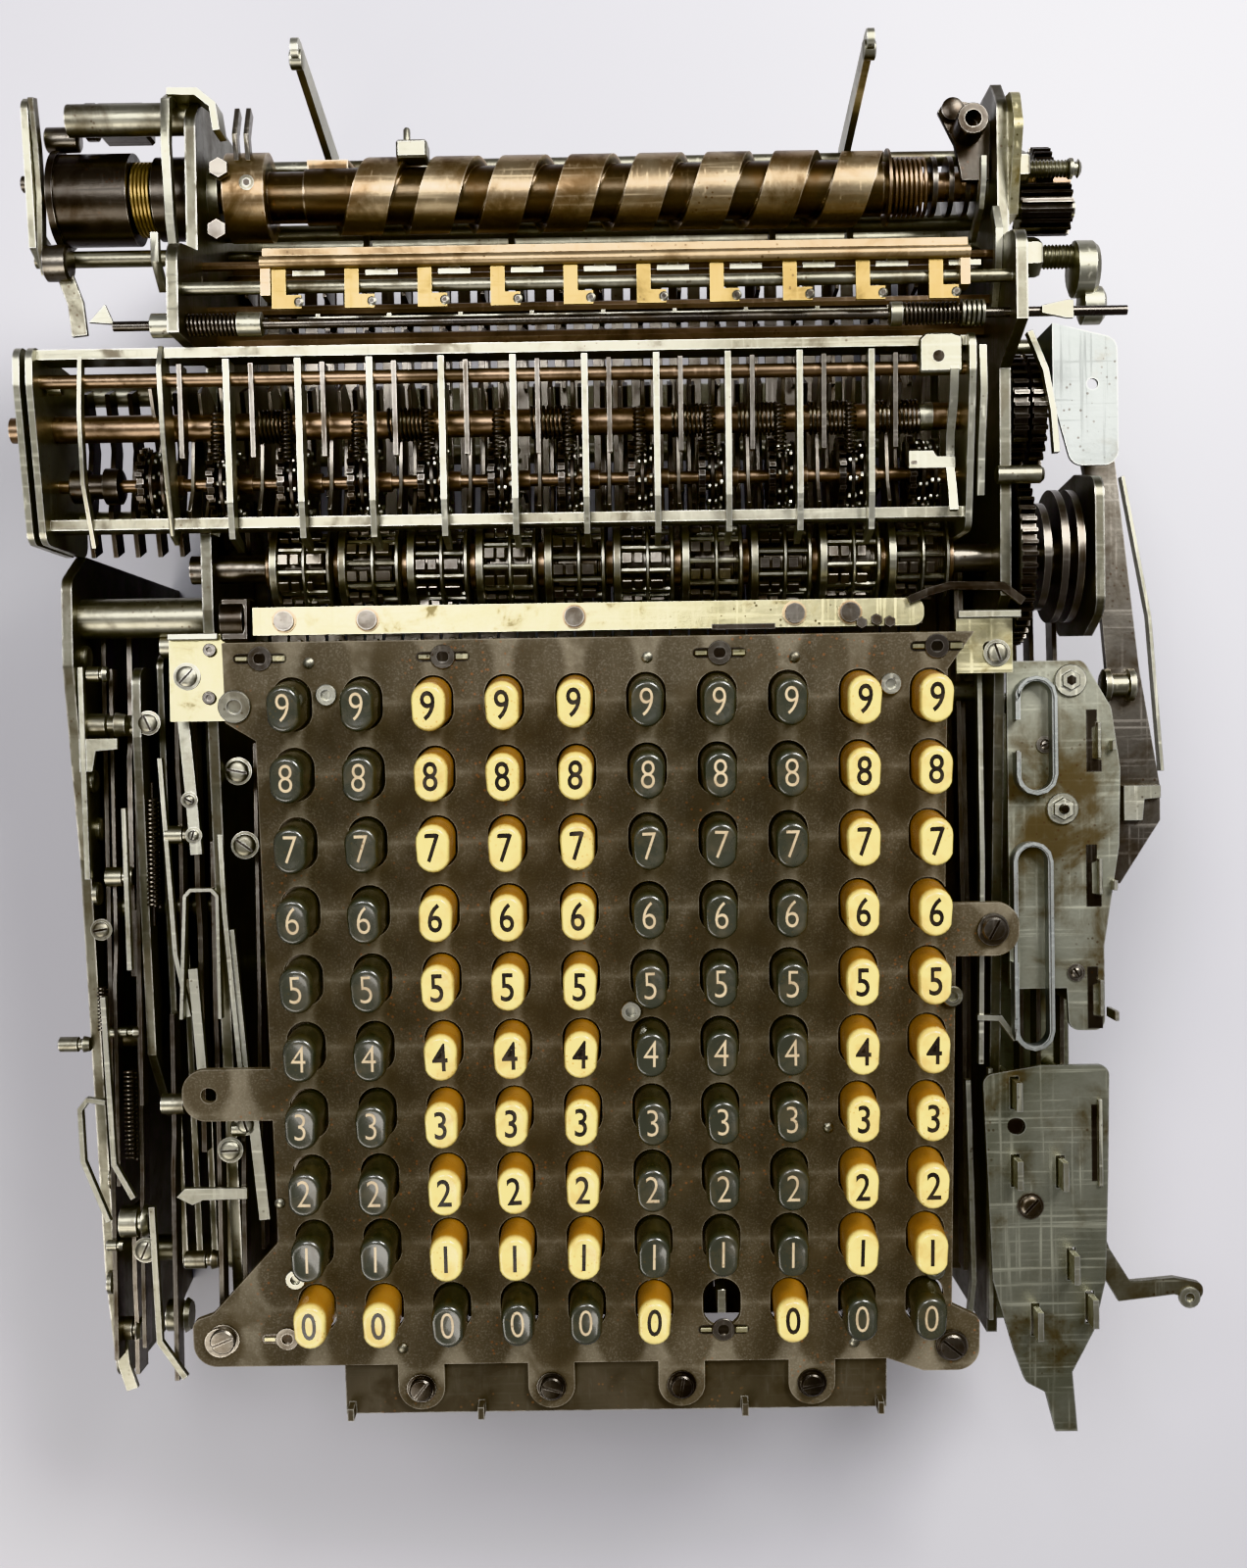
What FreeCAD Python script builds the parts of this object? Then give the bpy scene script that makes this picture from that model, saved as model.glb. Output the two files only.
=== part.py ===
import FreeCAD, Part
import Sketcher
import os
import re
from FreeCAD import Placement, Rotation, Vector

# A key-driven adding machine with its covers off: a full keyboard on a sloping plate, stepped drums behind it,
# a register above the drums, a shift worm across the rear and lever trains on both sides.
# Millimetres, +X to the operator's right, +Y to the rear, +Z up, origin on the table under the middle.

doc = FreeCAD.newDocument("adding_machine")
sheet = doc.addObject("Spreadsheet::Sheet", "Sizes")
names = []
nodes = []


def cells(**values):
    """Adds driving dimensions to the sheet, one aliased cell each."""
    for name, value in values.items():
        names.append(name)
        sheet.set(f"A{len(names)}", name)
        sheet.set(f"B{len(names)}", str(value))
        sheet.setAlias(f"B{len(names)}", name)


# Keyboard, on a plane that rises to the rear
cells(key_pitch=19.05, key_count=10, slope=7, grid_x=-2, grid_y=-67.25, plate_z=126.5)
cells(cap_width=9.5, cap_length=13.5, cap_height=14, cap_rise=13, cap_gap=0.6)
cells(stem_width=2.4, stem_length=7, stem_drop=26, top_plate_t=2, guide_drop=18, guide_plate_t=1.5)
cells(kb_left=-104, kb_waist=-96, kb_right=90.5, kb_rear=102.5, kb_front=-103, ear_radius=7.4)
cells(kb_corner_x=97.5, left_ear_x=-113.5, left_ear_y=-23, right_ear_x=103.5, right_ear_y=21)
cells(left_lobe_x=-113.5, left_lobe_y=-95, right_lobe_x=93.7, right_lobe_y=-99, lobe_radius=7.8)
cells(tongue_pitch=37, tongue_start=-57, tongue_y=-110, tongue_radius=6.6, screw_hole=2.2, ear_hole=2.2)
cells(apron_left=-79, apron_right=75.5, apron_front=-118.5, apron_rear=-97, apron_t=2, fin_height=9)
# Side frames
cells(frame_t=3, left_plate_x=-115.5, right_plate_x=105, plate_front=-168, plate_rear=186)
cells(deck_front_z=97, deck_rear_z=120, notch_z=110, rear_z=130, ear_rear=138, ear_front=114.5, ear_z=152)
cells(left_outer_x=-155.5, left_middle_x=-138, right_outer_x=129.5, thin_plate_t=2.5)
cells(rail_y_front=-160, rail_y_rear=110, rail_width=20, rail_t=4, bolt_spacing_x=160, bolt_hole=2.75)
cells(tie_radius=3, running=0.05, snug=0.02)
# Drums, register, worm
cells(drum_y=57, drum_z=112, drum_radius=12, drum_core=8, shaft_radius=4, drum_length=17)
cells(register_left=-153.2, register_right=94, end_plate_t=1.8, rod_y=105, rod_z=138.3, rod_radius=1.85)
cells(wound_y=94.5, wound_z=126, wound_radius=3.7, stub_left=-165.3, stub_length=6.3, stub_radius=3.5,
      wheel_y=79.1, wheel_z=124)
cells(wheel_shaft_radius=1.75, wheel_radius=10.5, wheel_t=1.8, wheel_first=-129.6)
cells(strip_first=-103.6, strip_t=1.6, detent_first=-116)
cells(worm_y=162, worm_z=110, worm_core=7.75, worm_radius=10.5, worm_left=-85.8)
cells(land_width=11.5, hub_radius=12.2, worm_right=76.2)
# Right side
cells(gear_x=109.5, gear_t=4, drum_teeth=48, idler_teeth=32, gear_module=1, pinion_teeth=16, worm_teeth=24)
cells(pinion_module=0.8, mesh_angle=49, control_z=116.5, lower_control_z=114.5, sheet_t=1.5, shelf_z=70,
      shelf_right=136, plate_tail=-190.2)
# Rods and levers
cells(latch_y=132.6, latch_z=150, latch_radius=1.6, latch_rod_y=127.2, latch_rod_z=146, latch_rod_radius=1.7)
cells(trip_y=118.4, trip_z=143, trip_radius=1.3, arm_pivot_y=176, arm_pivot_z=92, arm_t=2, arm_top_y=187.5)
cells(arm_top_z=150, left_pivot_y=-40, left_pivot_z=88, lever_z=105, lever_t=3, arm_end_x=165.3)
doc.recompute()

NAME = re.compile(r"[a-z][a-z_]*")
TURNED = {"X": Rotation(Vector(0, 0, 1), Vector(1, 0, 0)), "Y": Rotation(Vector(0, 0, 1), Vector(0, 1, 0)),
          "Z": Rotation()}


def bound(text):
    """An expression in cell names, as the expression engine reads it."""
    return NAME.sub(lambda m: "Sizes." + m.group() if m.group() in names else m.group(), str(text))


def number(text):
    return float(sheet.evalExpression(bound(text).replace("Sizes.", "")))


def bind(thing, **sizes):
    for name, text in sizes.items():
        thing.setExpression(name, bound(text))


def place(thing, at):
    """Binds an object's position to the sheet."""
    for axis, text in zip("xyz", at):
        thing.setExpression("Placement.Base." + axis, bound(text))


def keep(thing, label):
    """Names a finished sub-part, which is then exported under that name."""
    thing.Label = label
    nodes.append(thing)
    return thing


def rod(along, at, length, radius):
    piece = doc.addObject("Part::Cylinder", "rod")
    piece.Placement = Placement(Vector(), TURNED[along])
    bind(piece, Radius=radius, Height=length)
    place(piece, at)
    return piece


def block(at, length, width, height):
    piece = doc.addObject("Part::Box", "block")
    bind(piece, Length=length, Width=width, Height=height)
    place(piece, at)
    return piece


def group(pieces):
    """Separate solids that share one node."""
    made = doc.addObject("Part::Compound", "group")
    made.Links = pieces
    return made


def fuse(pieces):
    made = doc.addObject("Part::MultiFuse", "fusion")
    made.Shapes = pieces
    return made


def cut(base, tools):
    made = doc.addObject("Part::Cut", "cut")
    made.Base = base
    made.Tool = tools[0] if len(tools) == 1 else group(tools)
    return made


def row(source, count, step):
    """Links to one piece, spaced by a step in X, as one group."""
    links = []
    for i in range(count):
        link = doc.addObject("App::Link", "copy")
        link.LinkedObject = source
        link.LinkTransform = True
        link.setExpression("Placement.Base.x", bound(f"{i} * ({step})"))
        links.append(link)
    return group(links)


def new_body():
    return doc.addObject("PartDesign::Body", "body")


def sketch_on(body, plane, name):
    """A sketch on one of the body's own origin planes."""
    sketch = body.newObject("Sketcher::SketchObject", name)
    support = [f for f in body.Origin.OriginFeatures if f.Role == plane][0]
    sketch.AttachmentSupport = [(support, "")]
    sketch.MapMode = "FlatFace"
    return sketch


def pin_point(sketch, geometry, position, x, y):
    """Binds a point's distances from the sketch's origin to the sheet."""
    for kind, text in (("DistanceX", x), ("DistanceY", y)):
        index = sketch.addConstraint(Sketcher.Constraint(kind, -1, 1, geometry, position, number(text)))
        sketch.setExpression(f"Constraints[{index}]", bound(text))


def polygon(sketch, points):
    """A closed outline through points whose coordinates are expressions."""
    spots = [Vector(number(x), number(y), 0) for x, y in points]
    lines = [Part.LineSegment(a, b) for a, b in zip(spots, spots[1:] + spots[:1])]
    sketch.addGeometry(lines, False)
    last = len(points) - 1
    for i in range(len(points)):
        joint = Sketcher.Constraint("Coincident", last if i == 0 else i - 1, 2, i, 1)
        sketch.addConstraint(joint)
        pin_point(sketch, i, 1, *points[i])


def circles(sketch, holes):
    for x, y, radius in holes:
        circle = Part.Circle(Vector(number(x), number(y), 0), Vector(0, 0, 1), number(radius))
        index = sketch.addGeometry(circle, False)
        pin_point(sketch, index, 3, x, y)
        size = sketch.addConstraint(Sketcher.Constraint("Radius", index, number(radius)))
        sketch.setExpression(f"Constraints[{size}]", bound(radius))


def corner_edges(shape, points, plane):
    """Names of the edges that stand on some of an outline's corners."""
    spots = [(number(x), number(y)) for x, y in points]
    flat = {"XY_Plane": lambda p: (p.x, p.y), "YZ_Plane": lambda p: (p.y, p.z),
            "XZ_Plane": lambda p: (p.x, p.z)}
    found = []
    for i, edge in enumerate(shape.Edges):
        ends = [flat[plane](v.Point) for v in edge.Vertexes]
        if len(ends) == 2 and (Vector(*ends[0], 0) - Vector(*ends[1], 0)).Length < 1e-6:
            if any(abs(ends[0][0] - x) + abs(ends[0][1] - y) < 1e-4 for x, y in spots):
                found.append(f"Edge{i + 1}")
    return found


def plate(plane, outline, thickness, at=("0", "0", "0"), rounds=(), holes=()):
    """A flat plate: an outline padded, then rounded at chosen corners and drilled.
    rounds holds (radius, corner numbers); holes holds (x, y, radius)."""
    body = new_body()
    sketch = sketch_on(body, plane, "outline")
    polygon(sketch, outline)
    tip = body.newObject("PartDesign::Pad", "sheet")
    tip.Profile = sketch
    bind(tip, Length=thickness)
    doc.recompute()
    for radius, corners in rounds:
        edges = corner_edges(tip.Shape, [outline[i] for i in corners], plane)
        rounded = body.newObject("PartDesign::Fillet", "round")
        rounded.Base = (tip, edges)
        bind(rounded, Radius=radius)
        doc.recompute()
        tip = rounded
    if holes:
        drilling = sketch_on(body, plane, "drilling")
        circles(drilling, holes)
        pocket = body.newObject("PartDesign::Pocket", "drilled")
        pocket.Profile = drilling
        pocket.Type = "ThroughAll"
        pocket.Reversed = True
        before = tip.Shape.Volume
        doc.recompute()
        assert pocket.Shape.Volume < before, "the holes miss the plate"
    place(body, at)
    return body


def turned(profile, at=("0", "0", "0")):
    """A body of revolution about X. The profile's points are (distance along X, radius)."""
    body = new_body()
    sketch = sketch_on(body, "XY_Plane", "profile")
    polygon(sketch, profile)
    spun = body.newObject("PartDesign::Revolution", "turned")
    spun.Profile = sketch
    spun.ReferenceAxis = (sketch, ["H_Axis"])
    spun.Angle = 360
    place(body, at)
    return body


def gear(teeth, module, thickness, bore, at, turn="0"):
    """A spur gear on an X axis: a blank with one tooth space cut at its top, patterned round, then turned."""
    body = new_body()
    blank = sketch_on(body, "YZ_Plane", "blank")
    circles(blank, [("0", "0", f"({teeth} / 2 + 0.8) * {module}"), ("0", "0", bore)])
    disc = body.newObject("PartDesign::Pad", "disc")
    disc.Profile = blank
    bind(disc, Length=thickness)
    space = sketch_on(body, "YZ_Plane", "space")
    low, high = f"({teeth} / 2 - 1.2) * {module}", f"({teeth} / 2 + 1.5) * {module}"
    polygon(space, [(f"-0.75 * {module}", low), (f"0.75 * {module}", low),
                    (f"1.25 * {module}", high), (f"-1.25 * {module}", high)])
    gap = body.newObject("PartDesign::Pocket", "gap")
    gap.Profile = space
    gap.Type = "ThroughAll"
    gap.Reversed = True
    doc.recompute()
    pattern = body.newObject("PartDesign::PolarPattern", "teeth")
    pattern.Originals = [gap]
    pattern.Axis = (blank, ["N_Axis"])
    pattern.Angle = 360
    bind(pattern, Occurrences=teeth)
    body.Tip = pattern
    body.Placement = Placement(Vector(), Rotation(Vector(1, 0, 0), 1))
    body.setExpression("Placement.Rotation.Angle", bound(turn))
    place(body, at)
    return body


def stadium(at, width, length, height):
    """A post with round front and rear ends, standing on its centre."""
    x, y, z = at
    end = f"({width}) / 2"
    straight = f"({length}) - ({width})"
    middle = block((f"{x} - {end}", f"{y} - ({straight}) / 2", z), width, straight, height)
    ends = [rod("Z", (x, f"{y} {sign} ({straight}) / 2", z), height, end) for sign in "+-"]
    return fuse([middle] + ends)


def on_keyboard(thing, drop="0"):
    """Lays a piece made flat about its own origin on the keyboard's slope."""
    thing.Placement = Placement(Vector(), Rotation(Vector(1, 0, 0), 0))
    thing.setExpression("Placement.Rotation.Angle", bound("slope"))
    place(thing, ("grid_x", f"grid_y + ({drop}) * sin(slope)", f"plate_z - ({drop}) * cos(slope)"))
    return thing


def column_x(i):
    return f"(({i}) - (key_count - 1) / 2) * key_pitch"


# --- Keyboard: top plate with its ears, lobes and key openings -------------------------------------------------
top_outline = [
    ("kb_left", "kb_rear"), ("kb_left", "81"), ("kb_waist", "76"),
    ("kb_waist", "left_ear_y + ear_radius"), ("left_ear_x - ear_radius", "left_ear_y + ear_radius"),
    ("left_ear_x - ear_radius", "left_ear_y - ear_radius"), ("kb_waist", "left_ear_y - ear_radius"),
    ("kb_waist", "-66"), ("left_lobe_x - 2", "left_lobe_y + lobe_radius"),
    ("left_lobe_x - lobe_radius", "left_lobe_y + lobe_radius - 2"),
    ("left_lobe_x - lobe_radius", "left_lobe_y - lobe_radius"), ("apron_right", "kb_front"),
    ("right_lobe_x - 8", "right_lobe_y - lobe_radius"), ("right_lobe_x + lobe_radius",
                                                         "right_lobe_y - lobe_radius"),
    ("right_lobe_x + lobe_radius", "right_lobe_y + lobe_radius"),
    ("kb_right + 3", "right_lobe_y + lobe_radius + 4"),
    ("kb_right + 3", "right_ear_y - ear_radius"), ("right_ear_x + ear_radius", "right_ear_y - ear_radius"),
    ("right_ear_x + ear_radius", "right_ear_y + ear_radius"), ("kb_right", "right_ear_y + ear_radius"),
    ("kb_right", "kb_rear - 10"), ("kb_corner_x", "kb_rear")]
top_rounds = [("6.5", (4, 5, 10, 13, 17, 18)), ("3", (7, 8, 9, 14))]
tongues = [f"tongue_start + {i} * tongue_pitch" for i in range(4)]
top_holes = [("left_ear_x", "left_ear_y", "ear_hole"), ("left_lobe_x", "left_lobe_y", "screw_hole"),
             ("right_lobe_x", "right_lobe_y", "screw_hole"), ("right_ear_x", "right_ear_y", "screw_hole")]
top_blank = plate("XY_Plane", top_outline, "top_plate_t", ("0", "0", "-top_plate_t"), top_rounds, top_holes)
tongue_pads = [stadium((x, "tongue_y + 6", "-top_plate_t"), "2 * tongue_radius", "25", "top_plate_t")
               for x in tongues]
opening = stadium(("0", "0", "-2 * top_plate_t"), "cap_width + 2 * cap_gap", "cap_length + 2 * cap_gap",
                  "4 * top_plate_t")
openings = []
for column in range(10):
    for rank in range(10):
        hole = doc.addObject("App::Link", "opening")
        hole.LinkedObject = opening
        hole.LinkTransform = True
        hole.setExpression("Placement.Base.x", bound(column_x(column)))
        hole.setExpression("Placement.Base.y", bound(column_x(rank)))
        openings.append(hole)
tongue_holes = [rod("Z", (x, "tongue_y", "-3 * top_plate_t"), "6 * top_plate_t",
                    "screw_hole") for x in tongues]
keyboard_top_plate = keep(cut(fuse([top_blank] + tongue_pads), openings + tongue_holes), "keyboard_top_plate")
on_keyboard(keyboard_top_plate)

# Guide plate under it, with a slot for each key stem
guide_blank = block(("kb_waist", "kb_front + 6", "-guide_plate_t"), "kb_right - kb_waist",
                    "kb_rear - kb_front - 12",
                    "guide_plate_t")
slot = block(("-stem_width / 2 - 0.3", "-stem_length / 2 - 0.3", "-3"), "stem_width + 0.6",
             "stem_length + 0.6", "6")
slots = []
for column in range(10):
    for rank in range(10):
        hole = doc.addObject("App::Link", "slot")
        hole.LinkedObject = slot
        hole.LinkTransform = True
        hole.setExpression("Placement.Base.x", bound(column_x(column)))
        hole.setExpression("Placement.Base.y", bound(column_x(rank)))
        slots.append(hole)
key_guide_plate = keep(cut(guide_blank, slots), "key_guide_plate")
on_keyboard(key_guide_plate, "guide_drop")

# Key columns: ten caps on their stems, one node for each column. One key has lost its cap.
lost_cap = (6, 0)
for column in range(10):
    keys = []
    for rank in range(10):
        x, y = column_x(column), column_x(rank)
        stem = block((f"{x} - stem_width / 2", f"{y} - stem_length / 2", "cap_rise - cap_height - stem_drop"),
                     "stem_width", "stem_length", "stem_drop")
        if (column, rank) == lost_cap:
            keys.append(stem)
        else:
            cap = stadium((x, y, "cap_rise - cap_height"), "cap_width", "cap_length", "cap_height")
            keys.append(fuse([cap, stem]))
    on_keyboard(keep(group(keys), f"keys_column_{column + 1}"))

# Posts between the two plates, the screws that hold the plate, and the apron under its front tongues
post_spots = [("kb_waist + 4.5", "76"), ("kb_right - 3.8", "76.2"), ("-28.575", "kb_rear - 6.2"),
              ("28.575", "kb_rear - 6.2"), ("kb_waist + 3", "-38.1"), ("kb_right - 3.6", "-76.2")]
keyboard_posts = keep(group([rod("Z", (x, y, "-guide_drop"), "guide_drop - top_plate_t", "2") for x,
                             y in post_spots]),
                      "keyboard_posts")
on_keyboard(keyboard_posts)
apron = block(("apron_left", "apron_front", "-top_plate_t - apron_t"), "apron_right - apron_left",
              "apron_rear - apron_front", "apron_t")
fins = [block((x, "apron_front", "-top_plate_t"), "1.8", "3.6", "fin_height / 2")
        for x in ("apron_left + 1", "-41", "34", "apron_right - 3")]
apron_holes = [rod("Z", (x, "tongue_y", "-4 * top_plate_t"), "8 * top_plate_t", "1.6") for x in tongues]
front_apron_plate = keep(cut(fuse([apron] + fins), apron_holes), "front_apron_plate")
on_keyboard(front_apron_plate)

# --- Side frames ----------------------------------------------------------------------------------------------
def deck_z(y):
    return f"(deck_front_z + ({y} - plate_front) * (deck_rear_z - deck_front_z) / (45 - plate_front))"


shaft_hole = "shaft_radius + running"
frame_rear = [("plate_rear", "18"), ("plate_rear", "rear_z - 8"), ("plate_rear - 8", "rear_z"),
              ("ear_rear + 4", "rear_z"),
              ("ear_rear", "ear_z"), ("ear_front", "ear_z")]
left_outline = [("plate_front", "0"), ("plate_rear - 30", "0")] + frame_rear + [
    ("ear_front", "notch_z"), ("drum_y + 9.5", "notch_z"), ("drum_y + 9", "drum_z + 9"),
    ("45", "deck_rear_z"), ("plate_front", "deck_front_z")]
frame_holes = [("worm_y", "worm_z", shaft_hole), ("drum_y", "drum_z", shaft_hole),
               ("trip_y", "trip_z", "trip_radius + running")]
left_main_plate = keep(plate("YZ_Plane", left_outline, "frame_t", ("left_plate_x", "0", "0"),
                             [("6", (0, 4, 6, 12))], frame_holes), "left_main_plate")
right_outline = [("plate_front", "0"), ("plate_rear - 30", "0")] + frame_rear + [
    ("ear_front - 8", "rear_z"), ("45", "rear_z - 2"), ("40", "deck_rear_z"), ("plate_front", "deck_front_z")]
right_main_plate = keep(plate("YZ_Plane", right_outline, "frame_t", ("right_plate_x", "0", "0"),
                              [("6", (0, 4, 6))], frame_holes), "right_main_plate")
outer_outline = [("-178", "0"), ("62", "0"), ("62", "104"), ("54", "118"), ("30", "118"), ("-25", "106"),
                 ("-150", "90"), ("-184", "80"), ("-184", "24")]
left_outer_plate = keep(plate("YZ_Plane", outer_outline, "frame_t", ("left_outer_x", "0", "0"),
                              [("5", (3, 4, 7, 8))], [("left_pivot_y", "left_pivot_z", "2")]),
                              "left_outer_plate")
middle_outline = [("-104", "0"), ("30", "0"), ("30", "112"), ("10", "112"), ("-82", "103"), ("-104", "84")]
left_middle_plate = keep(plate("YZ_Plane", middle_outline, "thin_plate_t", ("left_middle_x", "0", "0"),
                               [("5", (2, 5))], [("left_pivot_y", "left_pivot_z", "tie_radius + running")]),
                         "left_middle_plate")
right_outer_outline = [("36", "88"), ("78", "88"), ("80", "112"), ("76", "134"), ("40", "134"), ("34", "120")]
right_outer_plate = keep(plate("YZ_Plane", right_outer_outline, "thin_plate_t", ("right_outer_x", "0", "0"),
                               [("6", (0, 1, 2, 3, 4))], [("drum_y", "drum_z", shaft_hole)]),
                               "right_outer_plate")

inner_left = "left_plate_x + frame_t"
span = "right_plate_x - left_plate_x - frame_t"
tie_spots = [("-150", "30"), ("-60", "62"), ("20", "40"), ("20", "94"), ("100", "44"), ("168", "40")]
ties = [rod("X", (inner_left, y, z), span, "tie_radius") for y, z in tie_spots]
bright_rods = [rod("X", (inner_left, "156.4", "95"), span, "2.3"),
               rod("X", (inner_left, "151", "91"), span, "1.7")]
latch_rod = rod("X", (inner_left, "latch_rod_y", "latch_rod_z"), span, "latch_rod_radius")
frame_tie_rods = keep(group(ties + bright_rods + [latch_rod]), "frame_tie_rods")

rail_holes = []
for y in ("rail_y_front", "rail_y_rear"):
    for sign in "+-":
        rail_holes.append(rod("Z", (f"{inner_left} + ({span}) / 2 {sign} bolt_spacing_x / 2",
                                    f"{y} + rail_width / 2",
                                    "-1"), "rail_t + 2", "bolt_hole"))
rails = group([block((inner_left, y, "0"), span, "rail_width", "rail_t") for y in ("rail_y_front",
                                                                                   "rail_y_rear")])
base_rails = keep(cut(rails, rail_holes), "base_rails")

# Spools and studs that hold the left plates apart
outer_gap = "left_plate_x - left_outer_x - frame_t"
middle_gap = "left_middle_x - left_outer_x - frame_t"
stay_x = "left_outer_x + frame_t"
spools = [rod("X", (stay_x, "44", "108"), outer_gap, "5.6"), rod("X", (stay_x, "50", "30"), outer_gap, "4"),
          rod("X", (stay_x, "13.5", "104"), middle_gap, "3"),
          rod("X", (stay_x, "-78", "92"), middle_gap, "3"),
          rod("X", (stay_x, "-150", "60"), outer_gap, "4"), rod("X", (stay_x, "left_pivot_y", "left_pivot_z"),
                                                                   outer_gap, "tie_radius")]
stays = [rod("X", ("register_left", y, "104"), "left_plate_x - register_left", "3") for y in ("72", "108")]
rear_stay = rod("X", ("-150", "181", "120"), "left_plate_x + 150", "4.4")
ring_profile = [("0", shaft_hole), ("0", "9"), ("3", "9"), ("3", shaft_hole)]
worm_rings = [turned(ring_profile, (x, "worm_y", "worm_z")) for x in (inner_left, "right_plate_x - 3")]
frame_spacers = keep(group(spools + stays + [rear_stay] + worm_rings), "frame_spacers")

# --- Cover bar and corner brackets -----------------------------------------------------------------------------
cover_outline = [("grid_x - 96.5", "36.8"), ("grid_x + 85", "36.8"), ("grid_x + 85", "44.2"),
                 ("grid_x - 96.5", "44.2")]
bar_screw_x = ["grid_x - 88", "grid_x - 65.5", "grid_x - 9.5", "grid_x + 50", "grid_x + 65"]
cover_holes = [(x, "40.5", "1.6") for x in bar_screw_x]
cover_bar = keep(plate("XY_Plane", cover_outline, "2.6", ("0", "0", "131.4"), [("3", (1, 2))], cover_holes),
                 "cover_bar")
cover_rail = block(("grid_x - 96.5", "37.5", "124"), "181.5", "6", "7.4")
keep(cut(cover_rail, [rod("Z", (x, "40.5", "120"), "14", "1.2") for x in bar_screw_x]),
                   "cover_bar_support")


def screw(x, y, z, head, shank, depth):
    """A cheese-head screw, head up."""
    return fuse([rod("Z", (x, y, z), "1.4", head), rod("Z", (x, y, f"{z} - {depth}"), depth, shank)])


cover_bar_screws = group([screw(x, "40.5", "134", "2.7", "1.15", "6") for x in bar_screw_x])
plate_screws = [screw(x, "tongue_y", "0", "3.4", "1.5", "3.5") for x in tongues]
plate_screws += [screw(x, y, "0", "4.3", "2.1", "6") for x, y in
                 (("left_lobe_x", "left_lobe_y"), ("right_lobe_x", "right_lobe_y"),
                  ("right_ear_x", "right_ear_y"))]
keyboard_screws = on_keyboard(group(plate_screws))
slotted_screws = keep(group([cover_bar_screws, keyboard_screws]), "slotted_screws")
left_bracket = block(("-124", "14", "122"), "15.5", "24", "2")
right_bracket = block(("93.5", "24", "122"), "15.5", "15", "2")
corner_holes = [rod("Z", ("-118", "28", "120"), "6", "1.7"), rod("Z", ("102.5", "31", "120"), "6", "1.7")]
corner_brackets = cut(group([left_bracket, right_bracket]), corner_holes)

# --- Stepped drums on their shaft, with the drive gear and the clutch ------------------------------------------
drum_shaft = keep(rod("X", ("-120", "drum_y", "drum_z"), "right_outer_x + 2.5 + 120", "shaft_radius"),
                  "drum_shaft")
half, wall = "drum_length / 2", "1.2"
drum_profile = [(f"-{half}", "shaft_radius + snug"), (f"-{half}", "drum_radius"),
                (f"-{half} + {wall}", "drum_radius"),
                (f"-{half} + {wall}", "drum_core"), ("-0.6", "drum_core"), ("-0.6", "drum_radius"),
                ("0.6", "drum_radius"), ("0.6", "drum_core"), (f"{half} - {wall}", "drum_core"),
                (f"{half} - {wall}", "drum_radius"), (half, "drum_radius"), (half, "shaft_radius + snug")]
drum = turned(drum_profile, ("grid_x - 4.5 * key_pitch", "drum_y", "drum_z"))
stepped_drums = keep(row(drum, 10, "key_pitch"), "stepped_drums")
drum_gear = keep(gear("drum_teeth", "gear_module", "gear_t", "shaft_radius + snug",
                      ("gear_x", "drum_y", "drum_z")),
                 "drum_gear")
disc_profile = [("117.5", "shaft_radius + snug"), ("117.5", "15"), ("119.5", "15"), ("119.5", "8"),
                ("121.5", "8"),
                ("121.5", "18.6"), ("123.5", "18.6"), ("123.5", "9"), ("125.8", "9"), ("125.8", "18.6"),
                ("127.8", "18.6"), ("127.8", "shaft_radius + snug")]
clutch_discs = keep(turned(disc_profile, ("0", "drum_y", "drum_z")), "clutch_discs")

# Idler pair in mesh with the drive gear, on a stud from the right frame
idler_y = "drum_y + (drum_teeth + idler_teeth) / 2 * gear_module"
idler_bore = "4 + running"
idlers = [gear("idler_teeth", "gear_module", "gear_t", idler_bore, (x, idler_y, "drum_z"),
               "180 / idler_teeth")
          for x in ("gear_x", "gear_x + gear_t + 1.2")]
idler_hub = turned([("gear_x + gear_t", idler_bore), ("gear_x + gear_t", "8"), ("gear_x + gear_t + 1.2", "8"),
                    ("gear_x + gear_t + 1.2", idler_bore)], ("0", idler_y, "drum_z"))
idler_gears = keep(fuse(idlers + [idler_hub]), "idler_gears")

# --- Register --------------------------------------------------------------------------------------------------
end_outline = [("62", "100"), ("112", "100"), ("113.6", "145"), ("103", "145"), ("62", "136")]
wound_hole = ("wound_y", "wound_z", "wound_radius + running")
end_rounds = [("4", (0, 1, 2, 3, 4))]
end_plates = [plate("YZ_Plane", end_outline, "end_plate_t", (x, "0", "0"), end_rounds, [wound_hole])
              for x in ("register_left - end_plate_t", "register_left - 2 * end_plate_t - 1.6",
                        "register_right")]
register_end_plates = keep(group(end_plates), "register_end_plates")
register_span = "register_right - register_left"
bar_sizes = [("110.4", "131", "2.6", "10"), ("66", "130.6", "2.8", "2.4"), ("66.2", "121.5", "1.7", "6")]
register_bars = keep(group([block(("register_left", y, z), register_span, width, height)
                            for y, z, width, height in bar_sizes]), "register_bars")
upper_rod = rod("X", ("register_left", "rod_y", "rod_z"), register_span, "rod_radius")
wheel_rod = rod("X", ("register_left", "wheel_y", "wheel_z"), register_span, "wheel_shaft_radius")
wound_profile = [("stub_left", "0"), ("stub_left", "stub_radius"), ("stub_left + stub_length", "stub_radius"),
                 ("stub_left + stub_length", "wound_radius"),
                 ("register_right + end_plate_t", "wound_radius"),
                 ("register_right + end_plate_t", "0")]
keep(turned(wound_profile, ("0", "wound_y", "wound_z")), "register_wound_shaft")
wheel = gear("20", "(wheel_radius / 10.9)", "wheel_t", "wheel_shaft_radius + running",
             ("wheel_first", "wheel_y", "wheel_z"))
register_wheels = keep(row(wheel, 12, "key_pitch"), "register_wheels")
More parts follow.
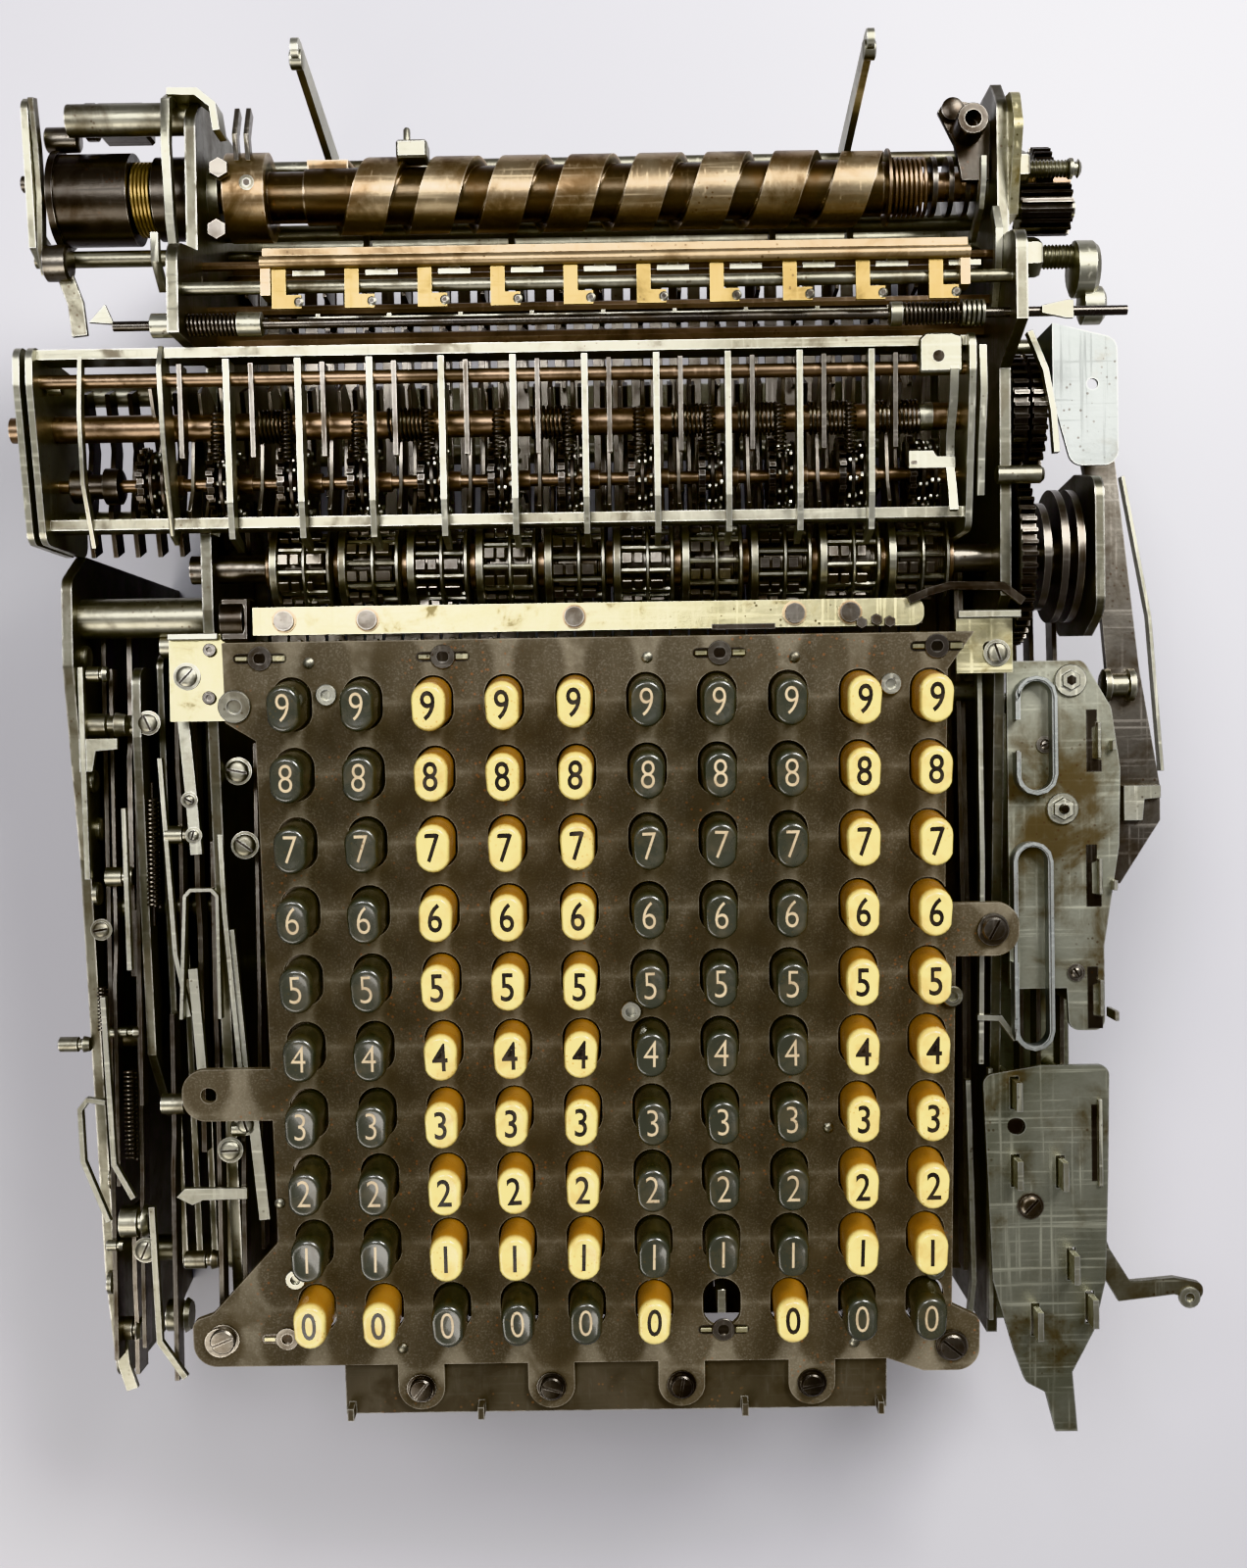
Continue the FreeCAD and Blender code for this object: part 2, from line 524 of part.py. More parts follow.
strip_outline = [("109.6", "142"), ("109.6", "135"), ("65", "134"), ("62.2", "126.6"), ("60", "126.6"),
                 ("62.4", "137.5"), ("72", "139.6")]
strip = plate("YZ_Plane", strip_outline, "strip_t", ("strip_first", "0", "0"), [],
              [("rod_y", "rod_z", "rod_radius + running")])
carry_levers = keep(row(strip, 10, "key_pitch"), "carry_levers")
detent_outline = [("108.6", "141.4"), ("108.6", "135.2"), ("88", "134.4"), ("84", "136.4"), ("84", "139.4")]
detent = plate("YZ_Plane", detent_outline, "1.2", ("detent_first", "0", "0"), [],
               [("rod_y", "rod_z", "rod_radius + running")])
detent_levers = keep(row(detent, 11, "key_pitch"), "detent_levers")
bush = turned([("0", "wheel_shaft_radius + snug"), ("0", "2.7"), ("6", "2.7"),
               ("6", "wheel_shaft_radius + snug")],
              ("wheel_first + 5", "wheel_y", "wheel_z"))
register_rods = keep(group([upper_rod, wheel_rod, row(bush, 12, "key_pitch")]), "register_rods")

# --- Shift worm on its shaft, across the rear ------------------------------------------------------------------
worm = turned([("-107.5", "shaft_radius + snug"), ("-107.5", "hub_radius"), ("-96", "hub_radius"),
               ("-96", "7"),
               ("worm_left", "7"), ("worm_left", "worm_core"), ("worm_right", "worm_core"),
               ("worm_right", "7"),
               ("86", "7"), ("86", "shaft_radius + snug")], ("0", "worm_y", "worm_z"))
land = sketch_on(worm, "XY_Plane", "land")
polygon(land, [("worm_left", "worm_core - 0.6"), ("worm_left", "worm_radius"),
               ("worm_left + land_width", "worm_radius"), ("worm_left + land_width", "worm_core - 0.6")])
helix = worm.newObject("PartDesign::AdditiveHelix", "helix")
helix.Profile = land
helix.ReferenceAxis = (land, ["H_Axis"])
helix.Mode = "pitch-turns-angle"
helix.LeftHanded = True
helix.HasBeenEdited = True
bind(helix, Pitch="key_pitch", Turns="(worm_right - worm_left - land_width) / key_pitch")
shift_worm = keep(worm, "shift_worm")
worm_shaft = keep(rod("X", ("-158", "worm_y", "worm_z"), "287", "shaft_radius"), "worm_shaft")
clutch_profile = [("-156", "shaft_radius + snug"), ("-156", "13.6"), ("-154", "13.6"), ("-154", "12.6"),
                  ("-134", "12.6"),
                  ("-134", "9"), ("-127.5", "9"), ("-127.5", "11.4"), ("-118", "11.4"),
                  ("-118", "shaft_radius + snug")]
clutch_drum = keep(turned(clutch_profile, ("0", "worm_y", "worm_z")), "clutch_drum")
rear_bracket_outline = [("148", "100"), ("172", "100"), ("182", "118"), ("180", "134"), ("170", "138"),
                        ("148", "130")]
right_rear_bracket = plate("YZ_Plane", rear_bracket_outline, "2.5", ("right_plate_x + frame_t", "0", "0"),
                           [("4", (0, 1, 2, 3, 4))], [("worm_y", "worm_z", shaft_hole)])
frame_brackets = keep(group([corner_brackets, right_rear_bracket]), "frame_brackets")
# The worm's gear meets the pinion on a line that leans mesh_angle from the horizontal
mesh_reach = "((worm_teeth + pinion_teeth) / 2 * pinion_module)"
pinion_y = f"worm_y - {mesh_reach} * cos(mesh_angle)"
pinion_z = f"worm_z + {mesh_reach} * sin(mesh_angle)"
worm_gear = keep(gear("worm_teeth", "pinion_module", "5", "shaft_radius + snug", ("118", "worm_y", "worm_z"),
                      "90 - mesh_angle"), "worm_gear")
rear_pinion = keep(gear("pinion_teeth", "pinion_module", "14", "2.5 + running", ("112", pinion_y, pinion_z),
                        "90 - mesh_angle + 180 / pinion_teeth"), "rear_pinion")

# --- Latch bar, tripping rod and arms --------------------------------------------------------------------------
bar_left, bar_length = "-91.4", "184.8"
arm_ends = []
for x in (bar_left, f"{bar_left} + {bar_length} - 2.4"):
    web = block((x, "latch_rod_y - 3", "latch_rod_z - 3"), "2.4", "latch_y - latch_rod_y + 3",
                "latch_z - latch_rod_z + 3")
    arm_ends.append(web)
latch_round = rod("X", (bar_left, "latch_y", "latch_z"), bar_length, "latch_radius")
latch_bore = rod("X", ("-95", "latch_rod_y", "latch_rod_z"), "200", "latch_rod_radius + running")
latch_bar = keep(cut(fuse([latch_round] + arm_ends), [latch_bore]), "latch_bar")
tab_z = "latch_rod_z + latch_rod_radius + 0.5"
tabs = []
for i in range(10):
    x = f"grid_x + {i} * key_pitch - 86.6"
    tabs.append(fuse([block((x, "123.5", tab_z), "3.6", "7.4", "1.2"),
                      block((x, "120.8", tab_z), "7.6", "3.4", "1.2")]))
latch_tabs = keep(group(tabs), "latch_tabs")
tripping_rod = keep(rod("X", ("-132", "trip_y", "trip_z"), "268", "trip_radius"), "tripping_rod")
spring_profile = [("0", "trip_radius + 0.5"), ("0", "3"), ("15", "3"), ("15", "trip_radius + 0.5")]
springs = [turned(spring_profile, (x, "trip_y", "trip_z")) for x in ("-104", "86")]
rod_springs = keep(group(springs), "rod_springs")
arm_outline = [("arm_pivot_y - 3.5", "arm_pivot_z - 4"), ("arm_pivot_y + 4", "arm_pivot_z - 4"),
               ("arm_top_y + 2.7", "arm_top_z - 2"), ("arm_top_y + 2.7", "arm_top_z + 3.4"),
               ("arm_top_y - 2.9", "arm_top_z + 3.4"), ("arm_top_y - 2.9", "arm_top_z - 2")]
arms = [plate("YZ_Plane", arm_outline, "arm_t", (x, "0", "0"), [("2.6", (0, 1, 3, 4))],
              [("arm_pivot_y", "arm_pivot_z", "2.2 + running")]) for x in ("-82", "67")]
carriage_arms = keep(group(arms), "carriage_arms")

# --- Control plates on the right -------------------------------------------------------------------------------
upper_outline = [("108.5", "27.4"), ("130", "27.4"), ("137.6", "14.2"), ("140", "-2.8"), ("139.5", "-24.5"),
                 ("135", "-52.7"), ("135", "-76.3"), ("125", "-76.3"), ("124.4", "-64.4"), ("108.5", "-64.4")]
upper_control_plate = keep(plate("XY_Plane", upper_outline, "sheet_t", ("0", "0", "control_z"),
                                 [("3", (1, 2, 5, 6, 7))], [("127.5", "22", "2.2"), ("124.5", "-14", "2.2")]),
                           "upper_control_plate")
lower_outline = [("101", "-89"), ("117", "-86.4"), ("136.6", "-86.4"), ("136", "-117.5"), ("135", "-147.3"),
                 ("131.6", "-161.6"), ("125.3", "-173.4"), ("126.6", "plate_tail"), ("120.4", "plate_tail"),
                 ("117.6", "-179"), ("112", "-176"),
                 ("108.8", "-167"), ("103.2", "-147")]
lower_holes = [("110.5", "-103.5", "2.3"), ("115.6", "-126", "1.8")]
lower_blank = plate("XY_Plane", lower_outline, "sheet_t", ("0", "0", "lower_control_z"),
                    [("3", (0, 2, 5, 10, 11))], lower_holes)
blade_spots = [("109.8", "-94"), ("109.8", "-116"), ("122.5", "-116.5"), ("125.3", "-142.6"),
               ("115", "-158.3"),
               ("130.4", "-155")]
blade_slots = [block((f"{x} - 1.2", f"{y} - 4.6", "lower_control_z - 2"), "2.4", "9.2", "6") for x,
               y in blade_spots]
lower_control_plate = keep(cut(lower_blank, blade_slots), "lower_control_plate")
blades = [block((f"{x} - 0.8", f"{y} - 4", "96"), "1.6", "8", "27") for x, y in blade_spots]
function_key_stems = keep(group(blades), "function_key_stems")
right_shelf_plate = keep(block(("right_plate_x + frame_t", "-172", "shelf_z"),
                               "shelf_right - right_plate_x - frame_t",
                               "192", "2.5"), "right_shelf_plate")
shelf_top = "shelf_z + 2.5"
upper_posts = [rod("Z", (x, y, shelf_top), f"control_z - ({shelf_top})", "2.6")
               for x, y in (("114", "16"), ("132", "-20"), ("114", "-56"), ("130", "-68"))]
lower_posts = [rod("Z", (x, y, shelf_top), f"lower_control_z - ({shelf_top})", "2.6")
               for x, y in (("130", "-94"), ("118", "-104"), ("112", "-142"), ("120", "-168"))]
studs = [rod("Z", ("137", "88.5", "100"), "18", "2.5"), rod("Z", ("131.2", "-134", "100"),
                                                            "lower_control_z - 100", "2")]
idler_stud = rod("X", ("right_plate_x + frame_t", idler_y, "drum_z"), "11", "4")
pinion_stud = rod("X", ("right_plate_x + frame_t + 2.5", pinion_y, pinion_z), "17", "2.5")
bracket_stud = rod("X", ("right_plate_x + frame_t", "118.5", "100"), "14", "2.5")
lever_rod = rod("X", ("-162.4", "145", "112"), "left_plate_x + 162.4", "2.3")
arm_rod = rod("X", (inner_left, "arm_pivot_y", "arm_pivot_z"), span, "2.2")
level_studs = [idler_stud, pinion_stud, bracket_stud, lever_rod, arm_rod]
posts_and_studs = keep(group(upper_posts + lower_posts + studs + level_studs), "posts_and_studs")


def clip(x, y, width, length):
    """A strip of spring steel bent into a long loop, standing on the plate, open at one side."""
    outer = stadium((x, y, "control_z + sheet_t"), width, length, "5")
    inner = stadium((x, y, "control_z"), f"{width} - 2.6", f"{length} - 2.6", "9")
    mouth = block((f"{x} - {width} / 2 - 1", f"{y} - 4.5", "control_z"), "4", "9", "9")
    return cut(outer, [inner, mouth])


control_guide_clips = keep(group([clip("115.6", "6.5", "11.4", "33"), clip("114.2", "-52", "11", "58")]),
                           "control_guide_clips")
side_outline = [("122", "100"), ("127", "81.5"), ("140", "81.5"), ("140", "116.5"), ("122", "121")]
side_top = plate("XY_Plane", side_outline, "sheet_t", ("0", "0", "118"), [("4", (1, 2, 3))],
                 [("133", "104", "1.6")])
side_flange = block(("122", "102", "96"), "1.6", "19", "22")
right_side_bracket = keep(fuse([side_top, side_flange]), "right_side_bracket")

# --- Levers ----------------------------------------------------------------------------------------------------
lever_outline = [("133", "93"), ("133", "84"), ("135.5", "70"), ("139.2", "25.5"), ("141.2", "-7.4"),
                 ("139.4", "-36"),
                 ("142.4", "-36"), ("154", "-18"), ("154", "-8"), ("148.4", "25.5"), ("142.5", "81"),
                 ("141", "93")]
operating_lever = keep(plate("XY_Plane", lever_outline, "lever_t", ("0", "0", "lever_z"), [("3.5", (0, 11))],
                             [("137", "88.5", "2.5 + running")]), "operating_lever")
bent_outline = [("127.5", "-130.5"), ("135", "-130.5"), ("138.5", "-141"), ("144.4", "-150.6"),
                ("157", "-149.6"),
                ("arm_end_x", "-151.4"), ("arm_end_x", "-157"), ("157", "-154.6"), ("141", "-156.4"),
                ("133.4", "-143.4")]
bent_arm = keep(plate("XY_Plane", bent_outline, "2", ("0", "0", "105"), [("2.4", (0, 1, 5, 6))],
                      [("131.2", "-134", "2 + running")]), "bent_arm")
control_outline = [("140", "106"), ("150", "106"), ("152", "113"), ("183", "117"), ("188", "121"),
                   ("184", "126"), ("146", "121")]
left_control_lever = keep(plate("YZ_Plane", control_outline, "2", ("-161.4", "0", "0"),
                                [("3.4", (0, 1, 4, 5))],
                                [("145", "112", "2.3 + running")]), "left_control_lever")
set_outline = [("-150", "76"), ("-40", "80"), ("34", "92"), ("34", "102"), ("-40", "97"), ("-150", "86")]
lever_bore = ("left_pivot_y", "left_pivot_z", "tie_radius + running")
left_levers = [plate("YZ_Plane", set_outline, "1.8", (x, "0", "0"), [("4", (0, 2, 3, 5))], [lever_bore])
               for x in ("-133.5", "-129", "-124.5", "-120")]
left_lever_set = keep(group(left_levers), "left_lever_set")

# --- Check every object, then write the sub-parts --------------------------------------------------------------
doc.recompute()
failed = [f"{thing.Label}: {thing.State}" for thing in doc.Objects
          if "Invalid" in thing.State or "Error" in thing.State]
assert not failed, failed
os.makedirs("parts", exist_ok=True)
for node in nodes:
    assert not node.Shape.isNull() and node.Shape.isValid(), node.Label + " has no valid shape"
    node.Shape.exportStep(f"parts/{node.Label}.step")
    box = node.Shape.BoundBox
    print(f"{node.Label:24s} {len(node.Shape.Solids):4d} solids  {node.Shape.Volume:10.0f} mm3  "
          f"x {box.XMin:7.1f} {box.XMax:7.1f}  y {box.YMin:7.1f} {box.YMax:7.1f}  z {box.ZMin:6.1f} {box.ZMax:6.1f}")
print(len(nodes), "sub-parts")
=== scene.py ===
# %% [markdown]
# An uncased adding machine, dressed for its portrait. The frame that is loaded first holds every load-bearing
# piece at its real place and size. This lesson adds the finishes, and the small pieces that a bench would be
# covered with if the machine came apart: key caps, screws, springs, strips, hooks and collars.

# %% Load the frame
import bpy
import math
import random
from mathutils import Matrix, Vector


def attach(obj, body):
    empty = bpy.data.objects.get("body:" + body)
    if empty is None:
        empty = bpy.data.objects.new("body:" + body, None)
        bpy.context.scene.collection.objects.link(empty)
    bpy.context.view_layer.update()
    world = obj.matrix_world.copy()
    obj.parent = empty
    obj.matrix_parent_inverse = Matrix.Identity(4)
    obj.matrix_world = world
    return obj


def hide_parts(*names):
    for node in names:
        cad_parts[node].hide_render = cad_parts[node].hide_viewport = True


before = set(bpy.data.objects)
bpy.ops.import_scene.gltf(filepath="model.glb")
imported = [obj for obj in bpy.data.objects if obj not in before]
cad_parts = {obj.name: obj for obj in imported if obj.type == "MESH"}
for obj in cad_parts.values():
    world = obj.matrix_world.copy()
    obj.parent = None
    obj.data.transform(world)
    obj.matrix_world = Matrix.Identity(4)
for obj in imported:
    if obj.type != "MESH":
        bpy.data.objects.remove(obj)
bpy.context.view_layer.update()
MM = 0.001
random.seed(7)

# %% [markdown]
# The viewer looks almost straight down on the keyboard from arm's length. A tilt, a pan and a roll of about a degree
# leave the picture a hair off square, as when a camera is held by hand.

# %% Camera
CAMERA_HEIGHT = 608.3 * MM
LENS_MM = 40.2
TILT = math.radians(-1.0)
ROLL = math.radians(-0.88)
PAN = math.radians(0.24)
camera_data = bpy.data.cameras.new("portrait_camera")
camera_data.lens = LENS_MM
camera_data.sensor_width = 36
camera = bpy.data.objects.new("portrait_camera", camera_data)
bpy.context.scene.collection.objects.link(camera)
camera.matrix_world = (Matrix.Translation((3.1 * MM, 3.3 * MM, CAMERA_HEIGHT))
                       @ Matrix.Rotation(PAN, 4, "Y") @ Matrix.Rotation(TILT, 4, "X") @ Matrix.Rotation(ROLL, 4, "Z"))
bpy.context.scene.camera = camera
print("camera at", [round(v, 3) for v in camera.matrix_world.translation])

# %% [markdown]
# A broad soft light stands to the upper right, as a window would, and a weak warm one fills the lower left. The
# table is a pale sheet with the faintest mottling, so that the machine's shadow reads softly on it.

# %% Table and lights


def area_light(name, place, target, size, power, colour):
    """A square soft box that faces its target."""
    lamp = bpy.data.lights.new(name, "AREA")
    lamp.size = size
    lamp.energy = power
    lamp.color = colour
    box = bpy.data.objects.new(name, lamp)
    bpy.context.scene.collection.objects.link(box)
    box.location = place
    box.rotation_euler = (Vector(target) - Vector(place)).to_track_quat("-Z", "Y").to_euler()


area_light("window_light", (0.50, 0.60, 0.95), (0, 0, 0.1), 0.40, 20, (1.0, 0.99, 0.97))
area_light("overhead_light", (-0.25, 0.35, 1.25), (0, 0, 0.1), 0.4, 9, (0.98, 0.98, 1.0))
area_light("warm_fill", (-0.5, -0.8, 0.9), (0, -0.1, 0), 0.6, 7, (1.0, 0.95, 0.88))
world = bpy.data.worlds.new("studio")
world.use_nodes = True
world.node_tree.nodes["Background"].inputs["Color"].default_value = (0.80, 0.80, 0.86, 1)
world.node_tree.nodes["Background"].inputs["Strength"].default_value = 0.40
bpy.context.scene.world = world
bpy.context.scene.view_settings.view_transform = "Khronos PBR Neutral"

bpy.ops.object.select_all(action="DESELECT")
bpy.ops.mesh.primitive_plane_add(size=6)
table = bpy.context.object
table.name = "table"
top = bpy.data.materials.new("pale_table_top")
top.use_nodes = True
nodes, links = top.node_tree.nodes, top.node_tree.links
mottle = nodes.new("ShaderNodeTexNoise")
mottle.inputs["Scale"].default_value = 3
shades = nodes.new("ShaderNodeValToRGB")
shades.color_ramp.elements[0].color = (0.37, 0.366, 0.388, 1)
shades.color_ramp.elements[1].color = (0.43, 0.426, 0.448, 1)
links.new(nodes.new("ShaderNodeTexCoord").outputs["Object"], mottle.inputs["Vector"])
links.new(mottle.outputs["Fac"], shades.inputs["Fac"])
links.new(shades.outputs["Color"], nodes["Principled BSDF"].inputs["Base Color"])
nodes["Principled BSDF"].inputs["Roughness"].default_value = 0.45
table.data.materials.append(top)

# %% [markdown]
# Four effects show up on nearly every piece of old oily metal: bright edges where hands and rags rub, blotches of
# grime, fine scratches along the rolling direction, and small dark or rusty specks. Each is one node group that puts
# out a mask, so that every finish can mix it in at its own strength. All of them read Object coordinates, in metres.

# %% Shared shader groups


def new_group(name, inputs):
    """A node group that takes coordinates and numbers with these defaults, and puts out one mask."""
    group = bpy.data.node_groups.new(name, "ShaderNodeTree")
    group.interface.new_socket("Vector", in_out="INPUT", socket_type="NodeSocketVector")
    for label, value in inputs.items():
        socket = group.interface.new_socket(label, in_out="INPUT", socket_type="NodeSocketFloat")
        socket.default_value = value
    group.interface.new_socket("Mask", in_out="OUTPUT", socket_type="NodeSocketFloat")
    return group, group.nodes.new("NodeGroupInput"), group.nodes.new("NodeGroupOutput")


def node(tree, kind, values=None, links=None, **settings):
    """Adds a node, sets its properties and input values, and links outputs of others to its inputs."""
    made = tree.nodes.new(kind)
    for key, value in settings.items():
        setattr(made, key, value)
    for key, value in (values or {}).items():
        made.inputs[key].default_value = value
    for key, source in (links or {}).items():
        tree.links.new(source, made.inputs[key])
    return made


def step_mask(tree, source, low, high):
    """A value stretched so that low becomes 0 and high becomes 1."""
    return node(tree, "ShaderNodeMapRange", {"From Min": low, "From Max": high}, {"Value": source},
                interpolation_type="SMOOTHSTEP").outputs["Result"]


def maths(tree, operation, first, second):
    """A Math node's result. Each side is a socket or a number."""
    made = tree.nodes.new("ShaderNodeMath")
    made.operation = operation
    for socket, side in zip(made.inputs, (first, second)):
        if isinstance(side, (int, float)):
            socket.default_value = side
        else:
            tree.links.new(side, socket)
    return made.outputs[0]


def noise(tree, where, scale, detail):
    """Noise between 0 and 1 on these coordinates."""
    return node(tree, "ShaderNodeTexNoise", {"Scale": scale, "Detail": detail}, {"Vector": where}).outputs["Fac"]


def make_edge_group():
    """Bright where a rounded normal leaves the face's own, broken up by noise."""
    group, start, end = new_group("worn_edges", {"Radius": 0.0005})
    rounded = node(group, "ShaderNodeBevel", links={"Radius": start.outputs["Radius"]}, samples=3)
    geometry = node(group, "ShaderNodeNewGeometry")
    dot = node(group, "ShaderNodeVectorMath",
               links={0: rounded.outputs["Normal"], 1: geometry.outputs["Normal"]}, operation="DOT_PRODUCT")
    edge = step_mask(group, dot.outputs["Value"], 0.99, 0.80)
    rubbed = step_mask(group, noise(group, start.outputs["Vector"], 260, 4), 0.30, 0.55)
    group.links.new(maths(group, "MULTIPLY", edge, rubbed), end.inputs["Mask"])
    return group


def make_grime_group():
    """Cloudy blotches. Low and High say how much of the cloud shows."""
    group, start, end = new_group("grime", {"Scale": 60, "Low": 0.45, "High": 0.7})
    cloud = node(group, "ShaderNodeTexNoise", {"Detail": 7, "Roughness": 0.62, "Distortion": 0.4},
                 {"Vector": start.outputs["Vector"], "Scale": start.outputs["Scale"]})
    spread = node(group, "ShaderNodeMapRange", interpolation_type="SMOOTHSTEP",
                  links={"Value": cloud.outputs["Fac"], "From Min": start.outputs["Low"],
                         "From Max": start.outputs["High"]})
    group.links.new(spread.outputs["Result"], end.inputs["Mask"])
    return group


def make_scratch_group():
    """Noise that is stretched first one way and then the other."""
    group, start, end = new_group("scratches", {"Across": 900, "Along": 25})
    across, along = start.outputs["Across"], start.outputs["Along"]
    grains = []
    for x, y in ((across, along), (along, across)):
        combine = node(group, "ShaderNodeCombineXYZ", links={"X": x, "Y": y, "Z": across})
        stretched = node(group, "ShaderNodeVectorMath", links={0: start.outputs["Vector"], 1: combine.outputs[0]},
                         operation="MULTIPLY")
        grains.append(noise(group, stretched.outputs[0], 1, 3))
    group.links.new(step_mask(group, maths(group, "MAXIMUM", *grains), 0.55, 0.75), end.inputs["Mask"])
    return group


def make_speck_group():
    """Small round dots that come in clouds."""
    group, start, end = new_group("specks", {"Scale": 500, "Size": 0.18})
    where = start.outputs["Vector"]
    cells = node(group, "ShaderNodeTexVoronoi", links={"Vector": where, "Scale": start.outputs["Scale"]})
    dots = maths(group, "LESS_THAN", cells.outputs["Distance"], start.outputs["Size"])
    region = step_mask(group, noise(group, where, 45, 3), 0.48, 0.62)
    group.links.new(maths(group, "MULTIPLY", dots, region), end.inputs["Mask"])
    return group


GROUPS = {"edges": make_edge_group(), "grime": make_grime_group(), "scratches": make_scratch_group(),
          "specks": make_speck_group()}
print("shader groups:", sorted(g.name for g in GROUPS.values()))

# %% [markdown]
# A finish is a stack: the clean colour, a second tone that drifts over it, fine scratches, brown or black grime,
# specks, and the rubbed edge on top. Roughness follows the same masks, because grime is dull where it is dry and
# glossy where it is oily. A fine grain, which grime fills, goes into a small bump.

# %% A finish made of layers
SCRATCH_AMOUNT = 0.35
SCRATCH_DULLS = 0.18
GRIME_SPREAD = 0.22
RUBBED_ROUGHNESS = 0.28


def use(tree, name, coordinates, **values):
    """Places one of the shared groups in a material."""
    placed = tree.nodes.new("ShaderNodeGroup")
    placed.node_tree = GROUPS[name]
    tree.links.new(coordinates, placed.inputs["Vector"])
    for key, value in values.items():
        placed.inputs[key].default_value = value
    return placed.outputs["Mask"]


def blend_colour(tree, mask, below, above, strength=1.0):
    """Lays one colour over another by a mask. Colours are sockets or RGB triples."""
    mix = tree.nodes.new("ShaderNodeMix")
    mix.data_type = "RGBA"
    tree.links.new(maths(tree, "MULTIPLY", mask, strength), mix.inputs["Factor"])
    for socket, colour in ((mix.inputs["A"], below), (mix.inputs["B"], above)):
        if isinstance(colour, tuple):
            socket.default_value = (*colour, 1)
        else:
            tree.links.new(colour, socket)
    return mix.outputs["Result"]


def blend_value(tree, mask, below, above, strength=1.0):
    """Moves a value towards another by a mask. below is a socket or a number."""
    mix = tree.nodes.new("ShaderNodeMix")
    tree.links.new(maths(tree, "MULTIPLY", mask, strength), mix.inputs["Factor"])
    if isinstance(below, (int, float)):
        mix.inputs["A"].default_value = below
    else:
        tree.links.new(below, mix.inputs["A"])
    mix.inputs["B"].default_value = above
    return mix.outputs["Result"]


def add_bump(tree, shader, height, strength):
    """Raises the surface by a fifth of a millimetre at most."""
    raised = node(tree, "ShaderNodeBump", {"Strength": strength, "Distance": 0.2 * MM}, {"Height": height})
    tree.links.new(raised.outputs["Normal"], shader.inputs["Normal"])


def finish(name, clean, tone, grime, edge, metallic=1.0, rough=0.35, grime_rough=0.5, grime_scale=55,
           grime_amount=0.8, grime_low=0.45, edge_amount=0.8, edge_radius=0.0005, speck=(0.05, 0.03, 0.02),
           speck_amount=0.6, bump=0.12, shine=0.5, extra=None):
    """A layered finish. extra may lay its own pattern and painted shade over the colour before the grime goes on."""
    material = bpy.data.materials.new(name)
    material.use_nodes = True
    tree = material.node_tree
    shader = tree.nodes["Principled BSDF"]
    shader.inputs["Metallic"].default_value = metallic
    shader.inputs["Specular IOR Level"].default_value = shine
    where = node(tree, "ShaderNodeTexCoord").outputs["Object"]
    drift = use(tree, "grime", where, Scale=grime_scale * 0.4, Low=0.35, High=0.65)
    dirt = use(tree, "grime", where, Scale=grime_scale, Low=grime_low, High=grime_low + GRIME_SPREAD)
    scratch = use(tree, "scratches", where)
    colour = blend_colour(tree, drift, clean, tone)
    roughness = blend_value(tree, scratch, rough, rough + SCRATCH_DULLS)
    colour = blend_colour(tree, scratch, colour, tuple(c * 1.35 + 0.02 for c in clean), SCRATCH_AMOUNT)
    if extra:
        colour = extra(tree, where, colour)
    colour = blend_colour(tree, dirt, colour, grime, grime_amount)
    roughness = blend_value(tree, dirt, roughness, grime_rough, grime_amount)
    colour = blend_colour(tree, use(tree, "specks", where), colour, speck, speck_amount)
    rub = use(tree, "edges", where, Radius=edge_radius)
    colour = blend_colour(tree, rub, colour, edge, edge_amount)
    roughness = blend_value(tree, rub, roughness, RUBBED_ROUGHNESS, edge_amount)
    tree.links.new(colour, shader.inputs["Base Color"])
    tree.links.new(roughness, shader.inputs["Roughness"])
    grain = blend_value(tree, dirt, noise(tree, where, 900, 3), 0.75, 0.6)
    add_bump(tree, shader, grain, bump)
    return material


# %% [markdown]
# The keyboard plate was dark brown-grey enamel. Dust has settled into it in long vertical bands between the columns
# of keys, and a dark ring of painted shade lies round every opening, where the caps shade the plate. Both patterns
# follow the key grid, so a Mapping node turns the coordinates onto the sloping plate first, and the bands and rings
# are worked out from the key pitch. The worm gets painted shade too: its grooves are darker than its lands, by their
# distance from its axis.

# %% Dust and painted shade on the keyboard plate, painted shade in the worm's grooves
PITCH = 19.05 * MM
KEY_PITCH = PITCH / MM
SLOPE = math.radians(7)
GRID = Vector((-2 * MM, -67.25 * MM, 126.5 * MM))
WORM_Y, WORM_Z = 162, 110


def on_key_grid(tree, where):
    """Coordinates that lie flat on the sloping plate, with the key grid's middle at zero."""
    flat = node(tree, "ShaderNodeMapping", links={"Vector": where}, vector_type="TEXTURE")
    flat.inputs["Location"].default_value = GRID
    flat.inputs["Rotation"].default_value = (SLOPE, 0, 0)
    return flat.outputs[0]


